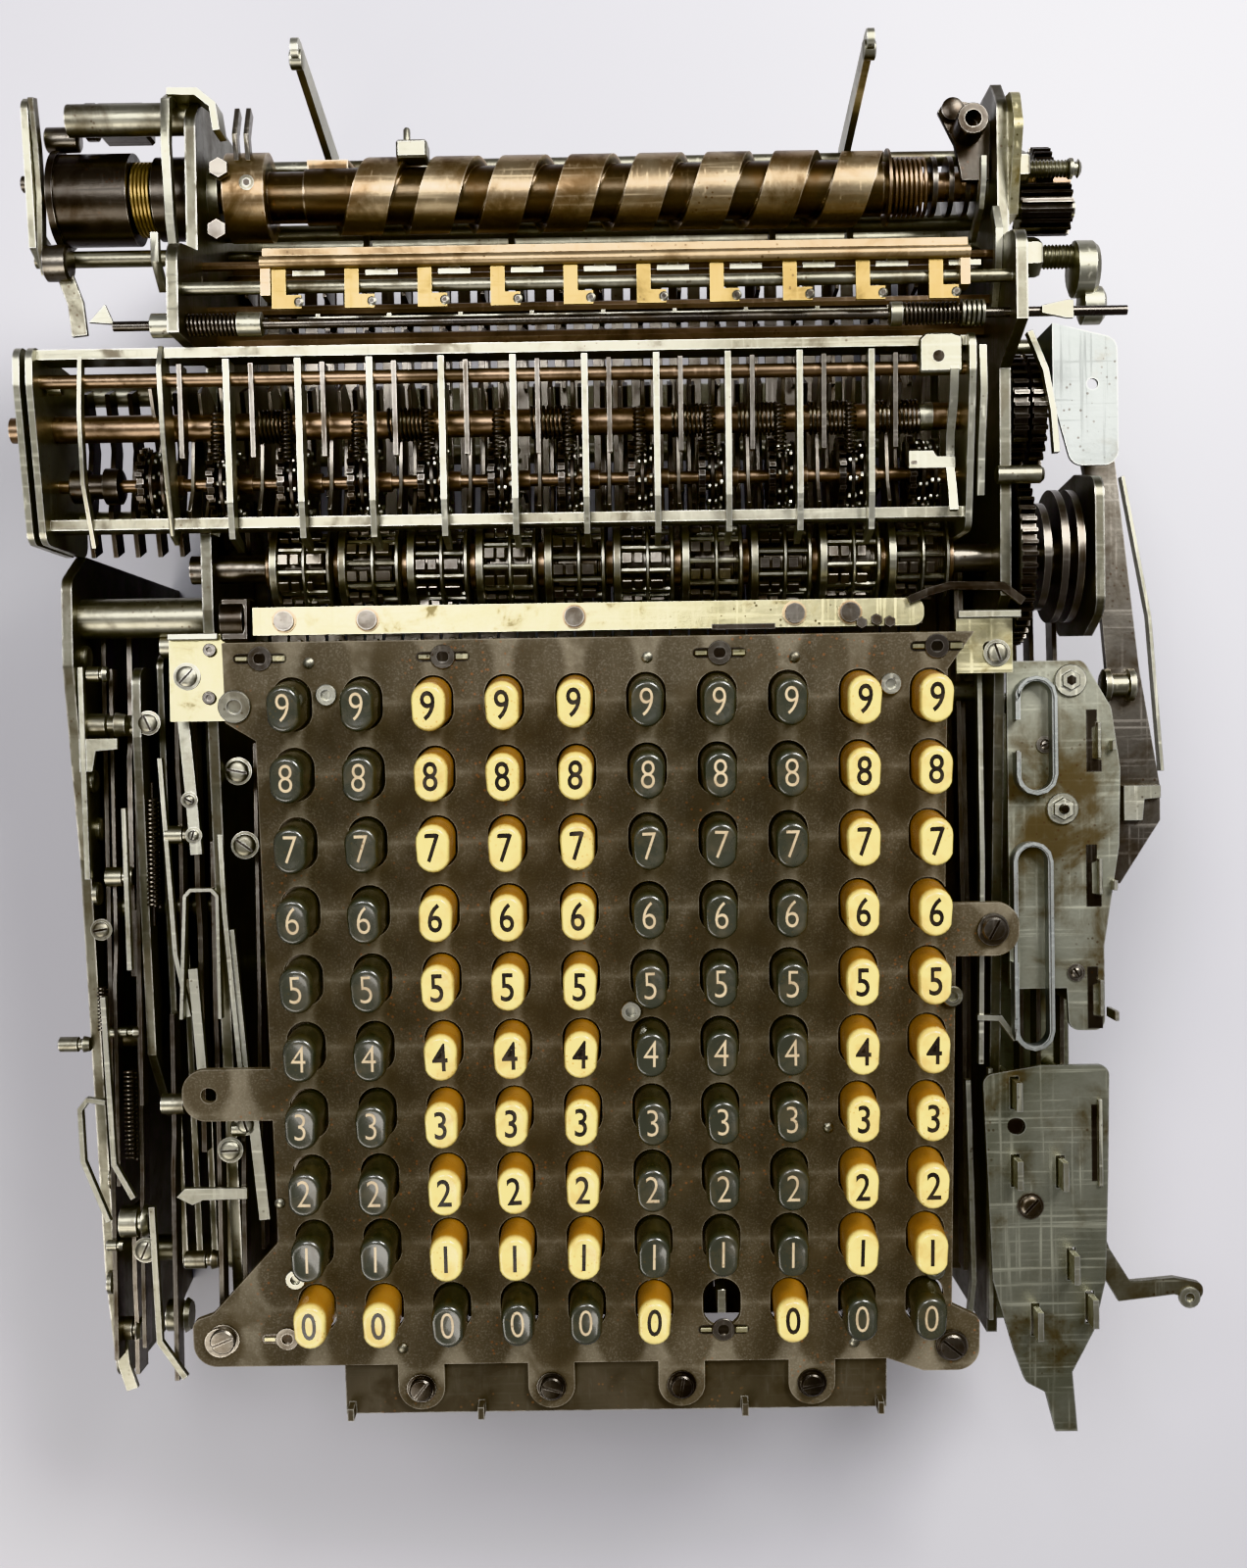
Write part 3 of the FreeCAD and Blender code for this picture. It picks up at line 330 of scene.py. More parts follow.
def plate_dust(tree, where, colour):
    """Bands of dust between the key columns, a dark ring of painted shade round each key opening, and fine grit on
    all of it.
    """
    flat = on_key_grid(tree, where)
    parts = node(tree, "ShaderNodeSeparateXYZ", links={"Vector": flat})
    waves = []
    for axis in "XY":
        shifted = maths(tree, "ADD", parts.outputs[axis], PITCH / 2)
        waves.append(maths(tree, "SUBTRACT", PITCH / 2, maths(tree, "PINGPONG", shifted, PITCH / 2)))
    stretched = node(tree, "ShaderNodeVectorMath", {1: (420, 9, 420)}, {0: flat}, operation="MULTIPLY")
    streaks = step_mask(tree, noise(tree, stretched.outputs[0], 1, 5), 0.3, 0.7)
    dusty = maths(tree, "MULTIPLY", step_mask(tree, waves[0], 0.0035, 0.0015), streaks)
    colour = blend_colour(tree, dusty, colour, (0.165, 0.142, 0.102), 0.5)
    # Painted shade: a dark ring round the foot of every key, where the caps shade the plate.
    squares = [maths(tree, "POWER", side, 2) for side in (waves[0], maths(tree, "MULTIPLY", waves[1], 0.72))]
    reach = maths(tree, "POWER", maths(tree, "ADD", *squares), 0.5)
    colour = blend_colour(tree, step_mask(tree, reach, 0.0082, 0.0060), colour, (0.030, 0.023, 0.014), 0.7)
    grit = step_mask(tree, noise(tree, where, 1900, 3), 0.48, 0.68)
    return blend_colour(tree, grit, colour, (0.30, 0.27, 0.21), 0.14)


def groove_shade(tree, where, colour):
    """Paints shade on whatever lies deeper than the worm's lands, measured from its axis."""
    centred = node(tree, "ShaderNodeVectorMath", {1: (0, -WORM_Y * MM, -WORM_Z * MM)}, {0: where}, operation="ADD")
    across = node(tree, "ShaderNodeVectorMath", {1: (0, 1, 1)}, {0: centred.outputs[0]}, operation="MULTIPLY")
    radius = node(tree, "ShaderNodeVectorMath", links={0: across.outputs[0]}, operation="LENGTH")
    # Painted shade: the grooves go dark the deeper they lie below the lands.
    painted_shade_depth = step_mask(tree, radius.outputs["Value"], 10.1 * MM, 8.8 * MM)
    return blend_colour(tree, painted_shade_depth, colour, (0.020, 0.013, 0.008), 0.85)


print("key pitch in millimetres:", round(KEY_PITCH, 2), "slope in degrees:", round(math.degrees(SLOPE), 1))

# %% [markdown]
# Each finish names its clean colour, the tone that drifts over it, its grime and the colour of its rubbed edges, in
# that order. What isn't said is as on ordinary oily steel.

# %% The finishes
OIL = (0.035, 0.026, 0.017)
FINISH = {
    "keyboard_plate": finish("dusty_brown_enamel", (0.098, 0.084, 0.059), (0.128, 0.110, 0.078),
                             (0.050, 0.040, 0.026), (0.30, 0.27, 0.22), edge_amount=0.7, metallic=0.0, shine=0.15,
                             rough=0.6, grime_rough=0.8, grime_scale=75, grime_amount=0.7, bump=0.25,
                             speck=(0.16, 0.07, 0.03), extra=plate_dust),
    "apron": finish("brown_enamel", (0.038, 0.032, 0.022), (0.054, 0.045, 0.032), (0.020, 0.015, 0.009),
                    (0.42, 0.40, 0.35), metallic=0.0, shine=0.15, rough=0.5, speck=(0.14, 0.07, 0.03)),
    "frame_steel": finish("tarnished_frame_steel", (0.135, 0.13, 0.103), (0.095, 0.09, 0.068),
                          (0.060, 0.050, 0.034), (0.62, 0.61, 0.56), edge_radius=0.0008, grime_scale=90,
                          grime_amount=0.6, grime_low=0.42),
    "strip_steel": finish("bright_strip_steel", (0.40, 0.39, 0.32), (0.27, 0.26, 0.20), (0.06, 0.045, 0.022),
                          (0.85, 0.85, 0.80), grime_amount=0.7, grime_low=0.50),
    "bar_steel": finish("pale_bar_steel", (0.26, 0.25, 0.20), (0.17, 0.16, 0.12), (0.045, 0.032, 0.018),
                        (0.80, 0.79, 0.72), grime_amount=0.75, grime_low=0.46),
    "dark_steel": finish("oily_dark_steel", (0.11, 0.10, 0.088), (0.17, 0.155, 0.13), OIL, (0.45, 0.42, 0.37),
                         rough=0.30, grime_rough=0.35),
    "black_steel": finish("black_gear_steel", (0.035, 0.032, 0.028), (0.055, 0.048, 0.04),
                          (0.015, 0.011, 0.008), (0.33, 0.31, 0.28), edge_radius=0.0004, rough=0.32,
                          grime_rough=0.25),
    "brown_rod": finish("brown_oiled_rod", (0.23, 0.165, 0.11), (0.13, 0.095, 0.065), OIL, (0.5, 0.42, 0.32),
                        rough=0.32, grime_rough=0.4),
    "worm_steel": finish("oil_browned_worm", (0.42, 0.34, 0.22), (0.22, 0.15, 0.085), (0.05, 0.028, 0.012),
                         (0.70, 0.60, 0.46), edge_radius=0.0007, rough=0.30, grime_scale=60,
                         speck=(0.12, 0.05, 0.02), extra=groove_shade),
    "nickel": finish("speckled_nickel", (0.52, 0.48, 0.31), (0.34, 0.31, 0.18), (0.09, 0.065, 0.02),
                     (0.85, 0.83, 0.66), rough=0.30, grime_scale=130, grime_amount=0.85, grime_low=0.50,
                     speck=(0.05, 0.035, 0.015), speck_amount=0.9),
    "bronze": finish("aged_bronze", (0.30, 0.22, 0.13), (0.40, 0.31, 0.19), (0.10, 0.065, 0.035),
                     (0.62, 0.52, 0.36), rough=0.34),
    "brass": finish("tarnished_brass", (0.34, 0.25, 0.10), (0.22, 0.155, 0.06), (0.06, 0.04, 0.015),
                    (0.50, 0.40, 0.20), edge_amount=0.5, rough=0.38),
    "pale_plating": finish("pale_bright_plating", (0.24, 0.25, 0.24), (0.19, 0.20, 0.19), (0.10, 0.075, 0.045),
                           (0.75, 0.75, 0.70), rough=0.5, grime_amount=0.7, grime_low=0.52),
    "control_steel": finish("grimy_control_plate_steel", (0.23, 0.23, 0.185), (0.15, 0.15, 0.115),
                            (0.055, 0.038, 0.018), (0.60, 0.60, 0.54), edge_radius=0.0007, rough=0.42,
                            grime_scale=45, grime_amount=0.9, grime_low=0.44),
    "spring": finish("black_spring_wire", (0.06, 0.055, 0.05), (0.11, 0.10, 0.085), OIL, (0.30, 0.28, 0.25),
                     rough=0.25),
}
print("finishes:", len(FINISH))

# %% [markdown]
# Every carried-over frame piece now gets its finish. The lists read like a parts bin: what is bright, what is oily,
# what is black.

# %% Finishes on the frame pieces
BIN = {
    "keyboard_plate": ["keyboard_top_plate"],
    "apron": ["front_apron_plate"],
    "frame_steel": ["left_main_plate", "right_main_plate", "left_outer_plate", "left_middle_plate",
                    "right_outer_plate", "base_rails", "left_lever_set"],
    "control_steel": ["right_shelf_plate", "upper_control_plate", "lower_control_plate"],
    "strip_steel": ["carry_levers", "carriage_arms", "left_control_lever", "function_key_stems",
                    "register_end_plates"],
    "bar_steel": ["register_bars", "frame_tie_rods", "frame_spacers", "posts_and_studs", "bent_arm"],
    "dark_steel": ["key_guide_plate", "keyboard_posts", "cover_bar_support", "drum_shaft", "stepped_drums",
                   "clutch_discs", "detent_levers", "operating_lever", "slotted_screws"],
    "black_steel": ["clutch_drum", "drum_gear", "idler_gears", "worm_gear", "rear_pinion", "register_wheels"],
    "brown_rod": ["register_rods", "register_wound_shaft", "worm_shaft"],
    "worm_steel": ["shift_worm"],
    "nickel": ["cover_bar", "frame_brackets"],
    "bronze": ["latch_bar"],
    "brass": ["latch_tabs"],
    "pale_plating": ["right_side_bracket", "control_guide_clips"],
    "spring": ["tripping_rod", "rod_springs"],
}
for label, members in BIN.items():
    for name in members:
        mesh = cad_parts[name].data
        mesh.materials.clear()
        mesh.materials.append(FINISH[label])
print("dressed", sum(len(m) for m in BIN.values()), "frame pieces")

# %% [markdown]
# Four ways of making a piece cover nearly the whole machine. Turned pieces are a filled circle that is extruded and
# resized ring by ring, as a lathe would cut them. Flat pieces are a point that is extruded along an outline, filled
# and given a thickness. Bent wires are a chain of points turned into a round curve and back into a mesh. Coils are a
# small circle carried round an axis by a Screw modifier.

# %% Turned pieces
LAY = {"X": (0, math.pi / 2, 0), "Y": (-math.pi / 2, 0, 0), "Z": (0, 0, 0)}


def clear_selection():
    bpy.ops.object.select_all(action="DESELECT")


def join(parts):
    """Joins parts into the first of them and moves its place and turn into the mesh."""
    clear_selection()
    for part in parts:
        part.select_set(True)
    bpy.context.view_layer.objects.active = parts[0]
    if len(parts) > 1:
        bpy.ops.object.join()
    bpy.ops.object.transform_apply(location=True, rotation=True, scale=True)
    return parts[0]


def place(piece, at, turn=(0, 0, 0)):
    """Puts a piece at its place in millimetres and moves that place into its mesh."""
    piece.location = Vector(at) * MM
    piece.rotation_euler = turn
    return join([piece])


def close_mesh():
    """Merges doubles and turns the faces outwards, then leaves edit mode."""
    bpy.ops.mesh.select_all(action="SELECT")
    bpy.ops.mesh.remove_doubles(threshold=1e-7)
    bpy.ops.mesh.normals_make_consistent(inside=False)
    bpy.ops.object.mode_set(mode="OBJECT")


def turned(rings, axis="Z", at=(0, 0, 0), sides=20, stretch=0.0):
    """A lathe piece from (radius, distance) rings. stretch parts the two halves of the first circle."""
    clear_selection()
    (radius, start), *_ = rings
    bpy.ops.mesh.primitive_circle_add(vertices=sides, radius=radius * MM, fill_type="NGON",
                                      location=(0, 0, start * MM))
    piece = bpy.context.object
    bpy.ops.object.transform_apply(location=True)
    if stretch:
        for vertex in piece.data.vertices:
            vertex.co.y += math.copysign(stretch * MM, vertex.co.y)
    bpy.ops.object.mode_set(mode="EDIT")
    bpy.ops.mesh.select_all(action="SELECT")
    for (r0, z0), (r1, z1) in zip(rings, rings[1:]):
        bpy.ops.mesh.extrude_region_move(TRANSFORM_OT_translate={"value": (0, 0, (z1 - z0) * MM)})
        bpy.ops.transform.resize(value=(r1 / r0, r1 / r0, 1), center_override=(0, 0, z1 * MM))
    close_mesh()
    return place(piece, at, LAY[axis])


def collar(radius, length, rim=0.6, chamfer=0.4, **where):
    """A plain round collar that narrows by rim at both ends."""
    return turned([(radius - rim, 0), (radius, chamfer), (radius, length - chamfer), (radius - rim, length)], **where)


def washer(outer, inner, height, depth=None, **where):
    """A washer or collar with a blind bore in its top."""
    edge = min(0.25, height / 4)
    depth = height * 0.7 if depth is None else depth
    return turned([(outer, 0), (outer, height - edge), (outer - edge, height), (inner, height),
                   (inner, height - depth)], **where)


print("axes that turned pieces lie along:", sorted(LAY))

# %% [markdown]
# Sheet metal parts have flat faces and square edges, with a tiny burr rubbed off. The outline is walked point by
# point, and a Bevel modifier breaks the sharp edge so that it catches the light.

# %% Flat pieces and strips
PLANES = {"XY": lambda a, b, level: (a, b, level), "YZ": lambda a, b, level: (level, a, b)}
NORMALS = {"XY": (0, 0, 1), "YZ": (1, 0, 0)}


def chain(points):
    """A plane merged to one point, which is then extruded from point to point."""
    clear_selection()
    bpy.ops.mesh.primitive_plane_add(size=MM)
    piece = bpy.context.object
    bpy.ops.object.mode_set(mode="EDIT")
    bpy.ops.mesh.merge(type="CENTER")
    bpy.ops.transform.translate(value=Vector(points[0]) * MM)
    for here, there in zip(points, points[1:]):
        bpy.ops.mesh.extrude_region_move(TRANSFORM_OT_translate={"value": (Vector(there) - Vector(here)) * MM})
    return piece


def cut_out(outline, thickness, plane="XY", level=0.0, burr=0.15):
    """A flat piece with this outline. level is where its first face stands, thickness runs up from there."""
    piece = chain([PLANES[plane](a, b, level) for a, b in outline])
    bpy.ops.mesh.select_all(action="SELECT")
    bpy.ops.mesh.edge_face_add()
    bpy.ops.mesh.extrude_region_move(TRANSFORM_OT_translate={"value": Vector(NORMALS[plane]) * thickness * MM})
    close_mesh()
    if burr:
        edge = piece.modifiers.new("burr", "BEVEL")
        edge.width = burr * MM
        edge.segments = 1
        edge.limit_method = "ANGLE"
        bpy.ops.object.modifier_apply(modifier=edge.name)
    return piece


def strip(path, width, thickness, plane="XY", level=0.0, burr=0.12):
    """A flat bar of even width along a path."""
    points = [Vector(p) for p in path]
    left, right = [], []
    for i, point in enumerate(points):
        before = (point - points[i - 1]).normalized() if i else (points[1] - point).normalized()
        after = (points[i + 1] - point).normalized() if i + 1 < len(points) else before
        along = (before + after).normalized()
        side = Vector((-along.y, along.x)) * width / 2 / max(along.dot(before), 0.4)
        left.append(tuple(point + side))
        right.append(tuple(point - side))
    return cut_out(left + right[::-1], thickness, plane, level, burr)


def bar(low, high, burr=0.2):
    """A squared bar between two corners, in millimetres."""
    (x0, y0, z0), (x1, y1, z1) = low, high
    return cut_out([(x0, y0), (x1, y0), (x1, y1), (x0, y1)], z1 - z0, "XY", z0, burr)


print("planes that flat pieces lie in:", sorted(PLANES))

# %% [markdown]
# Wires and springs are round all along. A wire's chain of points becomes a curve with a round section. A spring is
# wound: the circle of its section is swept by a Screw modifier, one iteration for each turn.

# %% Wires and springs


def wire(points, radius):
    """A round wire through these points."""
    piece = chain(points)
    bpy.ops.object.mode_set(mode="OBJECT")
    bpy.ops.object.convert(target="CURVE")
    piece = bpy.context.object
    piece.data.bevel_depth = radius * MM
    piece.data.bevel_resolution = 2
    piece.data.use_fill_caps = True
    bpy.ops.object.convert(target="MESH")
    piece = bpy.context.object
    bpy.ops.object.mode_set(mode="EDIT")
    close_mesh()
    return piece


def coil(radius, thickness, length, turns, axis="X", at=(0, 0, 0), sides=6, steps=14):
    """A wound spring whose axis starts at a place and runs along one direction."""
    clear_selection()
    bpy.ops.mesh.primitive_circle_add(vertices=sides, radius=thickness * MM, location=(radius * MM, 0, 0),
                                      rotation=(math.pi / 2, 0, 0))
    piece = bpy.context.object
    bpy.ops.object.transform_apply(location=True, rotation=True)
    winding = piece.modifiers.new("winding", "SCREW")
    winding.screw_offset = length / turns * MM
    winding.iterations = turns
    winding.steps = steps
    winding.render_steps = steps
    bpy.ops.object.modifier_apply(modifier=winding.name)
    bpy.ops.object.mode_set(mode="EDIT")
    bpy.ops.mesh.select_all(action="SELECT")
    bpy.ops.mesh.fill_holes(sides=0)
    close_mesh()
    return place(piece, at, LAY[axis])


# %% [markdown]
# A piece that repeats is made once, and each copy gets a mesh of its own. What rides together and shares a finish is
# joined into one object, named, dressed, smoothed and handed to its body.


def copies(piece, places):
    """The piece at each place in millimetres. The first copy is the piece itself."""
    made = [piece]
    for _ in places[1:]:
        twin = piece.copy()
        twin.data = piece.data.copy()
        bpy.context.scene.collection.objects.link(twin)
        made.append(twin)
    for twin, at in zip(made, places):
        twin.location = Vector(at) * MM
    return made


def dress(piece, metal):
    """Gives a single piece its finish before it is joined to others."""
    for one in piece if isinstance(piece, list) else [piece]:
        one.data.materials.clear()
        one.data.materials.append(FINISH[metal])
    return piece


def done(name, parts, body, metal, smooth=35, stands_for=()):
    """Joins parts into one named piece that rides a body."""
    piece = join(parts)
    bpy.ops.object.shade_smooth_by_angle(angle=math.radians(smooth))
    piece.name = name
    if not piece.data.materials:
        piece.data.materials.append(FINISH[metal])
    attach(piece, body)
    if stands_for:
        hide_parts(*stands_for)
    print(f"{name}: {len(piece.data.polygons)} faces, rides {body}")


# %% [markdown]
# Key caps were moulded in a hard plastic, half of them cream and half of them dark slate, and the figures were cut
# in and filled. The cream has yellowed to amber, and the sides of every cap, cream and slate, are painted darker than
# its top as shade. A mask worked out from the height above the sloping plate puts this painted shade on the sides.

# %% Key plastics


def cap_finish(name, face, side, stain, coat):
    """A glossy moulded plastic whose sides are painted darker as shade, under a cloud of stains."""
    material = bpy.data.materials.new(name)
    material.use_nodes = True
    tree = material.node_tree
    shader = tree.nodes["Principled BSDF"]
    shader.inputs["Coat Weight"].default_value = coat
    shader.inputs["Coat Roughness"].default_value = 0.08
    where = node(tree, "ShaderNodeTexCoord").outputs["Object"]
    height = node(tree, "ShaderNodeSeparateXYZ", links={"Vector": on_key_grid(tree, where)}).outputs["Z"]
    # Painted shade: low on the cap, towards the plate, the face colour gives way to the darker side colour.
    low = step_mask(tree, height, 0.0127, 0.0098)
    colour = blend_colour(tree, low, face, side)
    cloud = use(tree, "grime", where, Scale=140, Low=0.42, High=0.72)
    colour = blend_colour(tree, cloud, colour, stain, 0.55)
    colour = blend_colour(tree, use(tree, "specks", where, Scale=700, Size=0.2), colour, stain, 0.7)
    roughness = blend_value(tree, cloud, 0.24, 0.42)
    tree.links.new(colour, shader.inputs["Base Color"])
    tree.links.new(roughness, shader.inputs["Roughness"])
    add_bump(tree, shader, noise(tree, where, 500, 4), 0.10)
    return material


# The second colour of each plastic is its side colour, painted darker as shade.
PLASTICS = {
    "ivory": cap_finish("yellowed_cream_plastic", (0.64, 0.55, 0.21), (0.27, 0.125, 0.02), (0.30, 0.16, 0.03), 0.3),
    "slate": cap_finish("dark_slate_plastic", (0.030, 0.031, 0.022), (0.012, 0.012, 0.007), (0.05, 0.04, 0.02), 0.5),
    "black_fill": cap_finish("black_figure_fill", (0.015, 0.013, 0.011), (0.015, 0.013, 0.011),
                             (0.05, 0.035, 0.02), 0.0),
    "pale_fill": cap_finish("worn_pale_figure_fill", (0.42, 0.34, 0.22), (0.36, 0.28, 0.17), (0.16, 0.10, 0.05), 0.0),
}
FINISH.update(PLASTICS)
print("key plastics:", [plastic.name for plastic in PLASTICS.values()])

# %% [markdown]
# One cap is a rounded oblong that narrows upward, rolls over at the rim and has a shallow dish for the fingertip. The
# circle's two halves are parted first, and every ring after that is an extrusion.

# %% The cap, its stem and the ten figures
CAP_TOP = 12.88
CAP = turned([(4.75, -1), (4.66, 8), (4.55, 11.2), (4.3, 12.4), (3.95, 12.9), (3.55, 13), (3.1, 12.86)],
             stretch=2.0)
STEM = cut_out([(-3.5, -27), (-2.2, -29), (2.2, -29), (3.5, -27), (3.5, -1), (-3.5, -1)], 2.4, "YZ", -1.2)
dress(STEM, "bar_steel")
FIGURE_SIZE, FIGURE_NARROWING = 11.0, 0.80
FIGURES = {"ivory": [], "slate": []}
WEIGHT = {"ivory": 0.11 * MM, "slate": -0.13 * MM}
for plastic, figures in FIGURES.items():
    for digit in range(10):
        clear_selection()
        bpy.ops.object.text_add()
        figure = bpy.context.object
        figure.data.body = str(digit)
        figure.data.size = FIGURE_SIZE * MM
        figure.data.extrude = 0.03 * MM
        figure.data.resolution_u = 4
        figure.data.offset = WEIGHT[plastic]
        figure.data.align_x = "CENTER"
        figure.data.align_y = "CENTER"
        bpy.ops.object.convert(target="MESH")
        bpy.context.object.scale.x = FIGURE_NARROWING
        figures.append(place(bpy.context.object, (0, 0, CAP_TOP)))
print("cap faces:", len(CAP.data.polygons), "figure faces:", [len(f.data.polygons) for f in FIGURES["ivory"]])

# %% [markdown]
# The dark and the cream columns alternate in groups of three, as they mark thousands and millions, and each nought
# key has the other colour. One cap has been lost, and its bare stem stands in the opening. Old caps don't sit
# quite straight, so each leans and turns by a hair.

# %% A hundred keys
COLUMNS = range(1, 11)
RANKS = 10
DARK_COLUMNS = {1, 2, 6, 7, 8}
NOUGHT_OF = {1: "ivory", 2: "ivory", 3: "slate", 4: "slate", 5: "slate", 6: "ivory", 8: "ivory", 9: "slate",
             10: "slate"}
LEAN = math.radians(1.0)
plate_turn = Matrix.Translation(GRID) @ Matrix.Rotation(SLOPE, 4, "X")


def put(source, where, metal=None):
    """A copy of a piece under a placement matrix."""
    twin = source.copy()
    twin.data = source.data.copy()
    bpy.context.scene.collection.objects.link(twin)
    twin.matrix_world = where
    return dress(twin, metal) if metal else twin


for column in COLUMNS:
    parts = []
    for rank in range(RANKS):
        middle = Vector(((column - 5.5) * KEY_PITCH, (rank - 4.5) * KEY_PITCH, 0))
        spot = plate_turn @ Matrix.Translation(middle * MM)
        parts.append(put(STEM, spot))
        main = "slate" if column in DARK_COLUMNS else "ivory"
        colour = NOUGHT_OF.get(column) if rank == 0 else main
        if colour is None:
            continue
        tilt = Matrix.Identity(4)
        for axis, most in (("X", LEAN), ("Y", LEAN), ("Z", 2 * LEAN)):
            tilt = tilt @ Matrix.Rotation(random.uniform(-most, most), 4, axis)
        parts.append(put(CAP, spot @ tilt, colour))
        parts.append(put(FIGURES[colour][rank], spot @ tilt, "black_fill" if colour == "ivory" else "pale_fill"))
    done(f"key_caps_{column}", parts, f"key_column_{column}", "ivory", 40, [f"keys_column_{column}"])
for spare in [CAP, STEM, *FIGURES["ivory"], *FIGURES["slate"]]:
    bpy.data.objects.remove(spare)

# %% [markdown]
# Bushes and long studs come up through the top plate and are peened over, and near its front and rear edges it has
# long slots, each a thin black sheet of painted shade, with a bright tab showing in them. They are small, but they
# are the brightest things on the dark plate.

# %% Rings, rivets and slots on the keyboard plate


def on_plate(parts, name, body, metal, **more):
    """Finishes pieces that were made flat round the key grid and tips them onto the sloping plate."""
    for part in parts:
        part.matrix_world = plate_turn @ part.matrix_basis
    done(name, parts, body, metal, **more)


RING = washer(2.9, 1.5, 1.5, depth=1.2, sides=18)
ring_spots = [(-76.3, 88.2), (75.2, 88.9), (4.2, -0.4), (92.6, 2.6), (-91.4, -76.6), (88.5, -76.4)]
on_plate(copies(RING, [(x, y, 0) for x, y in ring_spots]), "plate_bushes", "frame", "strip_steel")
RIVET = turned([(1.5, 0), (1.5, 0.25), (1.1, 0.65), (0.4, 0.8)], sides=12)
rivet_spots = [(49.5, 96.4), (-95, -54.5), (58.6, -34.8), (91, -13.6), (-80.8, 96.8), (10, 97), (-62, -98),
               (66, -98)]
on_plate(copies(RIVET, [(x, y, 0) for x, y in rivet_spots]), "plate_rivets", "frame", "bar_steel")


def stadium_outline(x, y, length, width, steps=6):
    """The outline of an oblong hole that lies along X."""
    reach = length / 2 - width / 2
    ends = []
    for centre, start in ((reach, -90), (-reach, 90)):
        for i in range(steps + 1):
            angle = math.radians(start + 180 * i / steps)
            ends.append((x + centre + width / 2 * math.cos(angle), y + width / 2 * math.sin(angle)))
    return ends


slots, tabs, eyes = [], [], []
for x, y in ((-93.9, 98.2), (-44.8, 98), (29.4, 97.9), (87.6, 98.8), (29, -93.6), (-94.6, -94.6)):
    # Painted shade: each slot is a thin black sheet laid on the plate, standing for its dark inside.
    slots.append(cut_out(stadium_outline(x, y, 14.4, 2.7), 0.06, "XY", 0.01, 0))
    eyes.append(washer(3.3, 1.6, 0.5, depth=0.45, at=(x, y, 0), sides=18))
    tabs += [bar((x + 3.4, y - 0.8, 0.02), (x + 6.9, y + 0.8, 0.7)),
             bar((x - 6.6, y - 0.6, 0.02), (x - 3.3, y + 0.6, 0.5))]
on_plate(slots, "plate_slot_shade", "frame", "black_steel", smooth=20)
on_plate(eyes, "plate_slot_bushes", "frame", "dark_steel")
on_plate(tabs, "plate_slot_tabs", "frame", "nickel")

# %% [markdown]
# Screws hold the plate at its lobes and tongues. A head is a turned disc with a washer below it, and its slot is a
# thin black bar of painted shade let into the face, turned differently on every screw.

# %% Screw heads


def screw_head(x, y, z, radius, height, turn, slope=0.0, metal="dark_steel"):
    """A slotted head with a rolled rim, a black bar of painted shade for its slot, and a thin washer below it."""
    head = turned([(radius + 0.9, 0), (radius + 0.9, 0.5), (radius, 0.55), (radius, height - 0.35),
                   (radius - 0.4, height), (radius * 0.55, height + 0.12)], sides=22)
    # Painted shade: the slot is a thin black bar on the face, not a cut.
    slot_shade_bar = bar((-radius * 0.93, -0.32, height - 0.1), (radius * 0.93, 0.32, height + 0.16), 0)
    slot_shade_bar.rotation_euler = (0, 0, turn)
    made = [dress(head, metal), dress(slot_shade_bar, "black_steel")]
    for one in made:
        one.matrix_world = (Matrix.Translation(Vector((x, y, z)) * MM) @ Matrix.Rotation(slope, 4, "X")
                            @ one.matrix_basis)
    return made


def plate_height(y):
    """The height in millimetres of the keyboard plate's top face above a place."""
    return GRID.z / MM + (y - GRID.y / MM) * math.tan(SLOPE)


screws = []
for (x, y, radius, turn) in ((-114.6, -161.0, 3.6, 0.4), (91.5, -165.6, 3.7, -0.7), (101.6, -46.0, 3.3, 1.1)):
    screws += screw_head(x, y, plate_height(y) + 0.1, radius, 2.4, turn, SLOPE)
for x, turn in ((-59, 0.9), (-22, -0.3), (15, 1.4), (52, 0.2)):
    screws += screw_head(x, -176.3, plate_height(-176.3) + 0.1, 3.3, 2.3, turn, SLOPE, "black_steel")
done("plate_screw_heads", screws, "frame", "dark_steel")
print("screw heads:", len(screws) // 2)

# %% [markdown]
# Under the keys and the drums lies a bed of setting slides: thin flat bars side by side, one set for each column,
# that carry the stroke of a key back to its drum. They are black with oil and close off the view to the table.

# %% Setting slides
BED_Z = 62
slide = cut_out([(-1.9, -158), (1.9, -158), (1.9, -60), (2.6, -56), (2.6, 60), (1.9, 64), (1.9, 152), (-1.9, 152),
                 (-1.9, 64), (-2.6, 60), (-2.6, -56), (-1.9, -60)], 1.2, "XY", BED_Z)
SLIDES, SLIDE_GAP = 37, 5.93
slide_places = [(-111.5 + SLIDE_GAP * i, random.uniform(-3, 3), random.uniform(-0.6, 0.6)) for i in range(SLIDES)]
slides = copies(slide, slide_places)
hook = cut_out([(-12, 0), (12, 0), (12, 4), (6, 4), (5, 12), (1, 16), (-2, 16), (-3, 4), (-12, 4)], 1.2, "YZ")
hooks = copies(hook, [(x + 0.4, y0, BED_Z + 1) for x, _, _ in slide_places[::2] for y0 in (28, 84, 128, 144)])
done("setting_slides", slides, "frame", "dark_steel")
done("slide_hooks", hooks, "frame", "dark_steel")

# %% [markdown]
# Each drum on the shaft is a little cage. A thick disc and two thin ones stand on a core, round bars run between
# them, and short plates of stepped length are riveted on the rim. Seen from above this makes a row of small oblong
# shapes between bright disc edges.

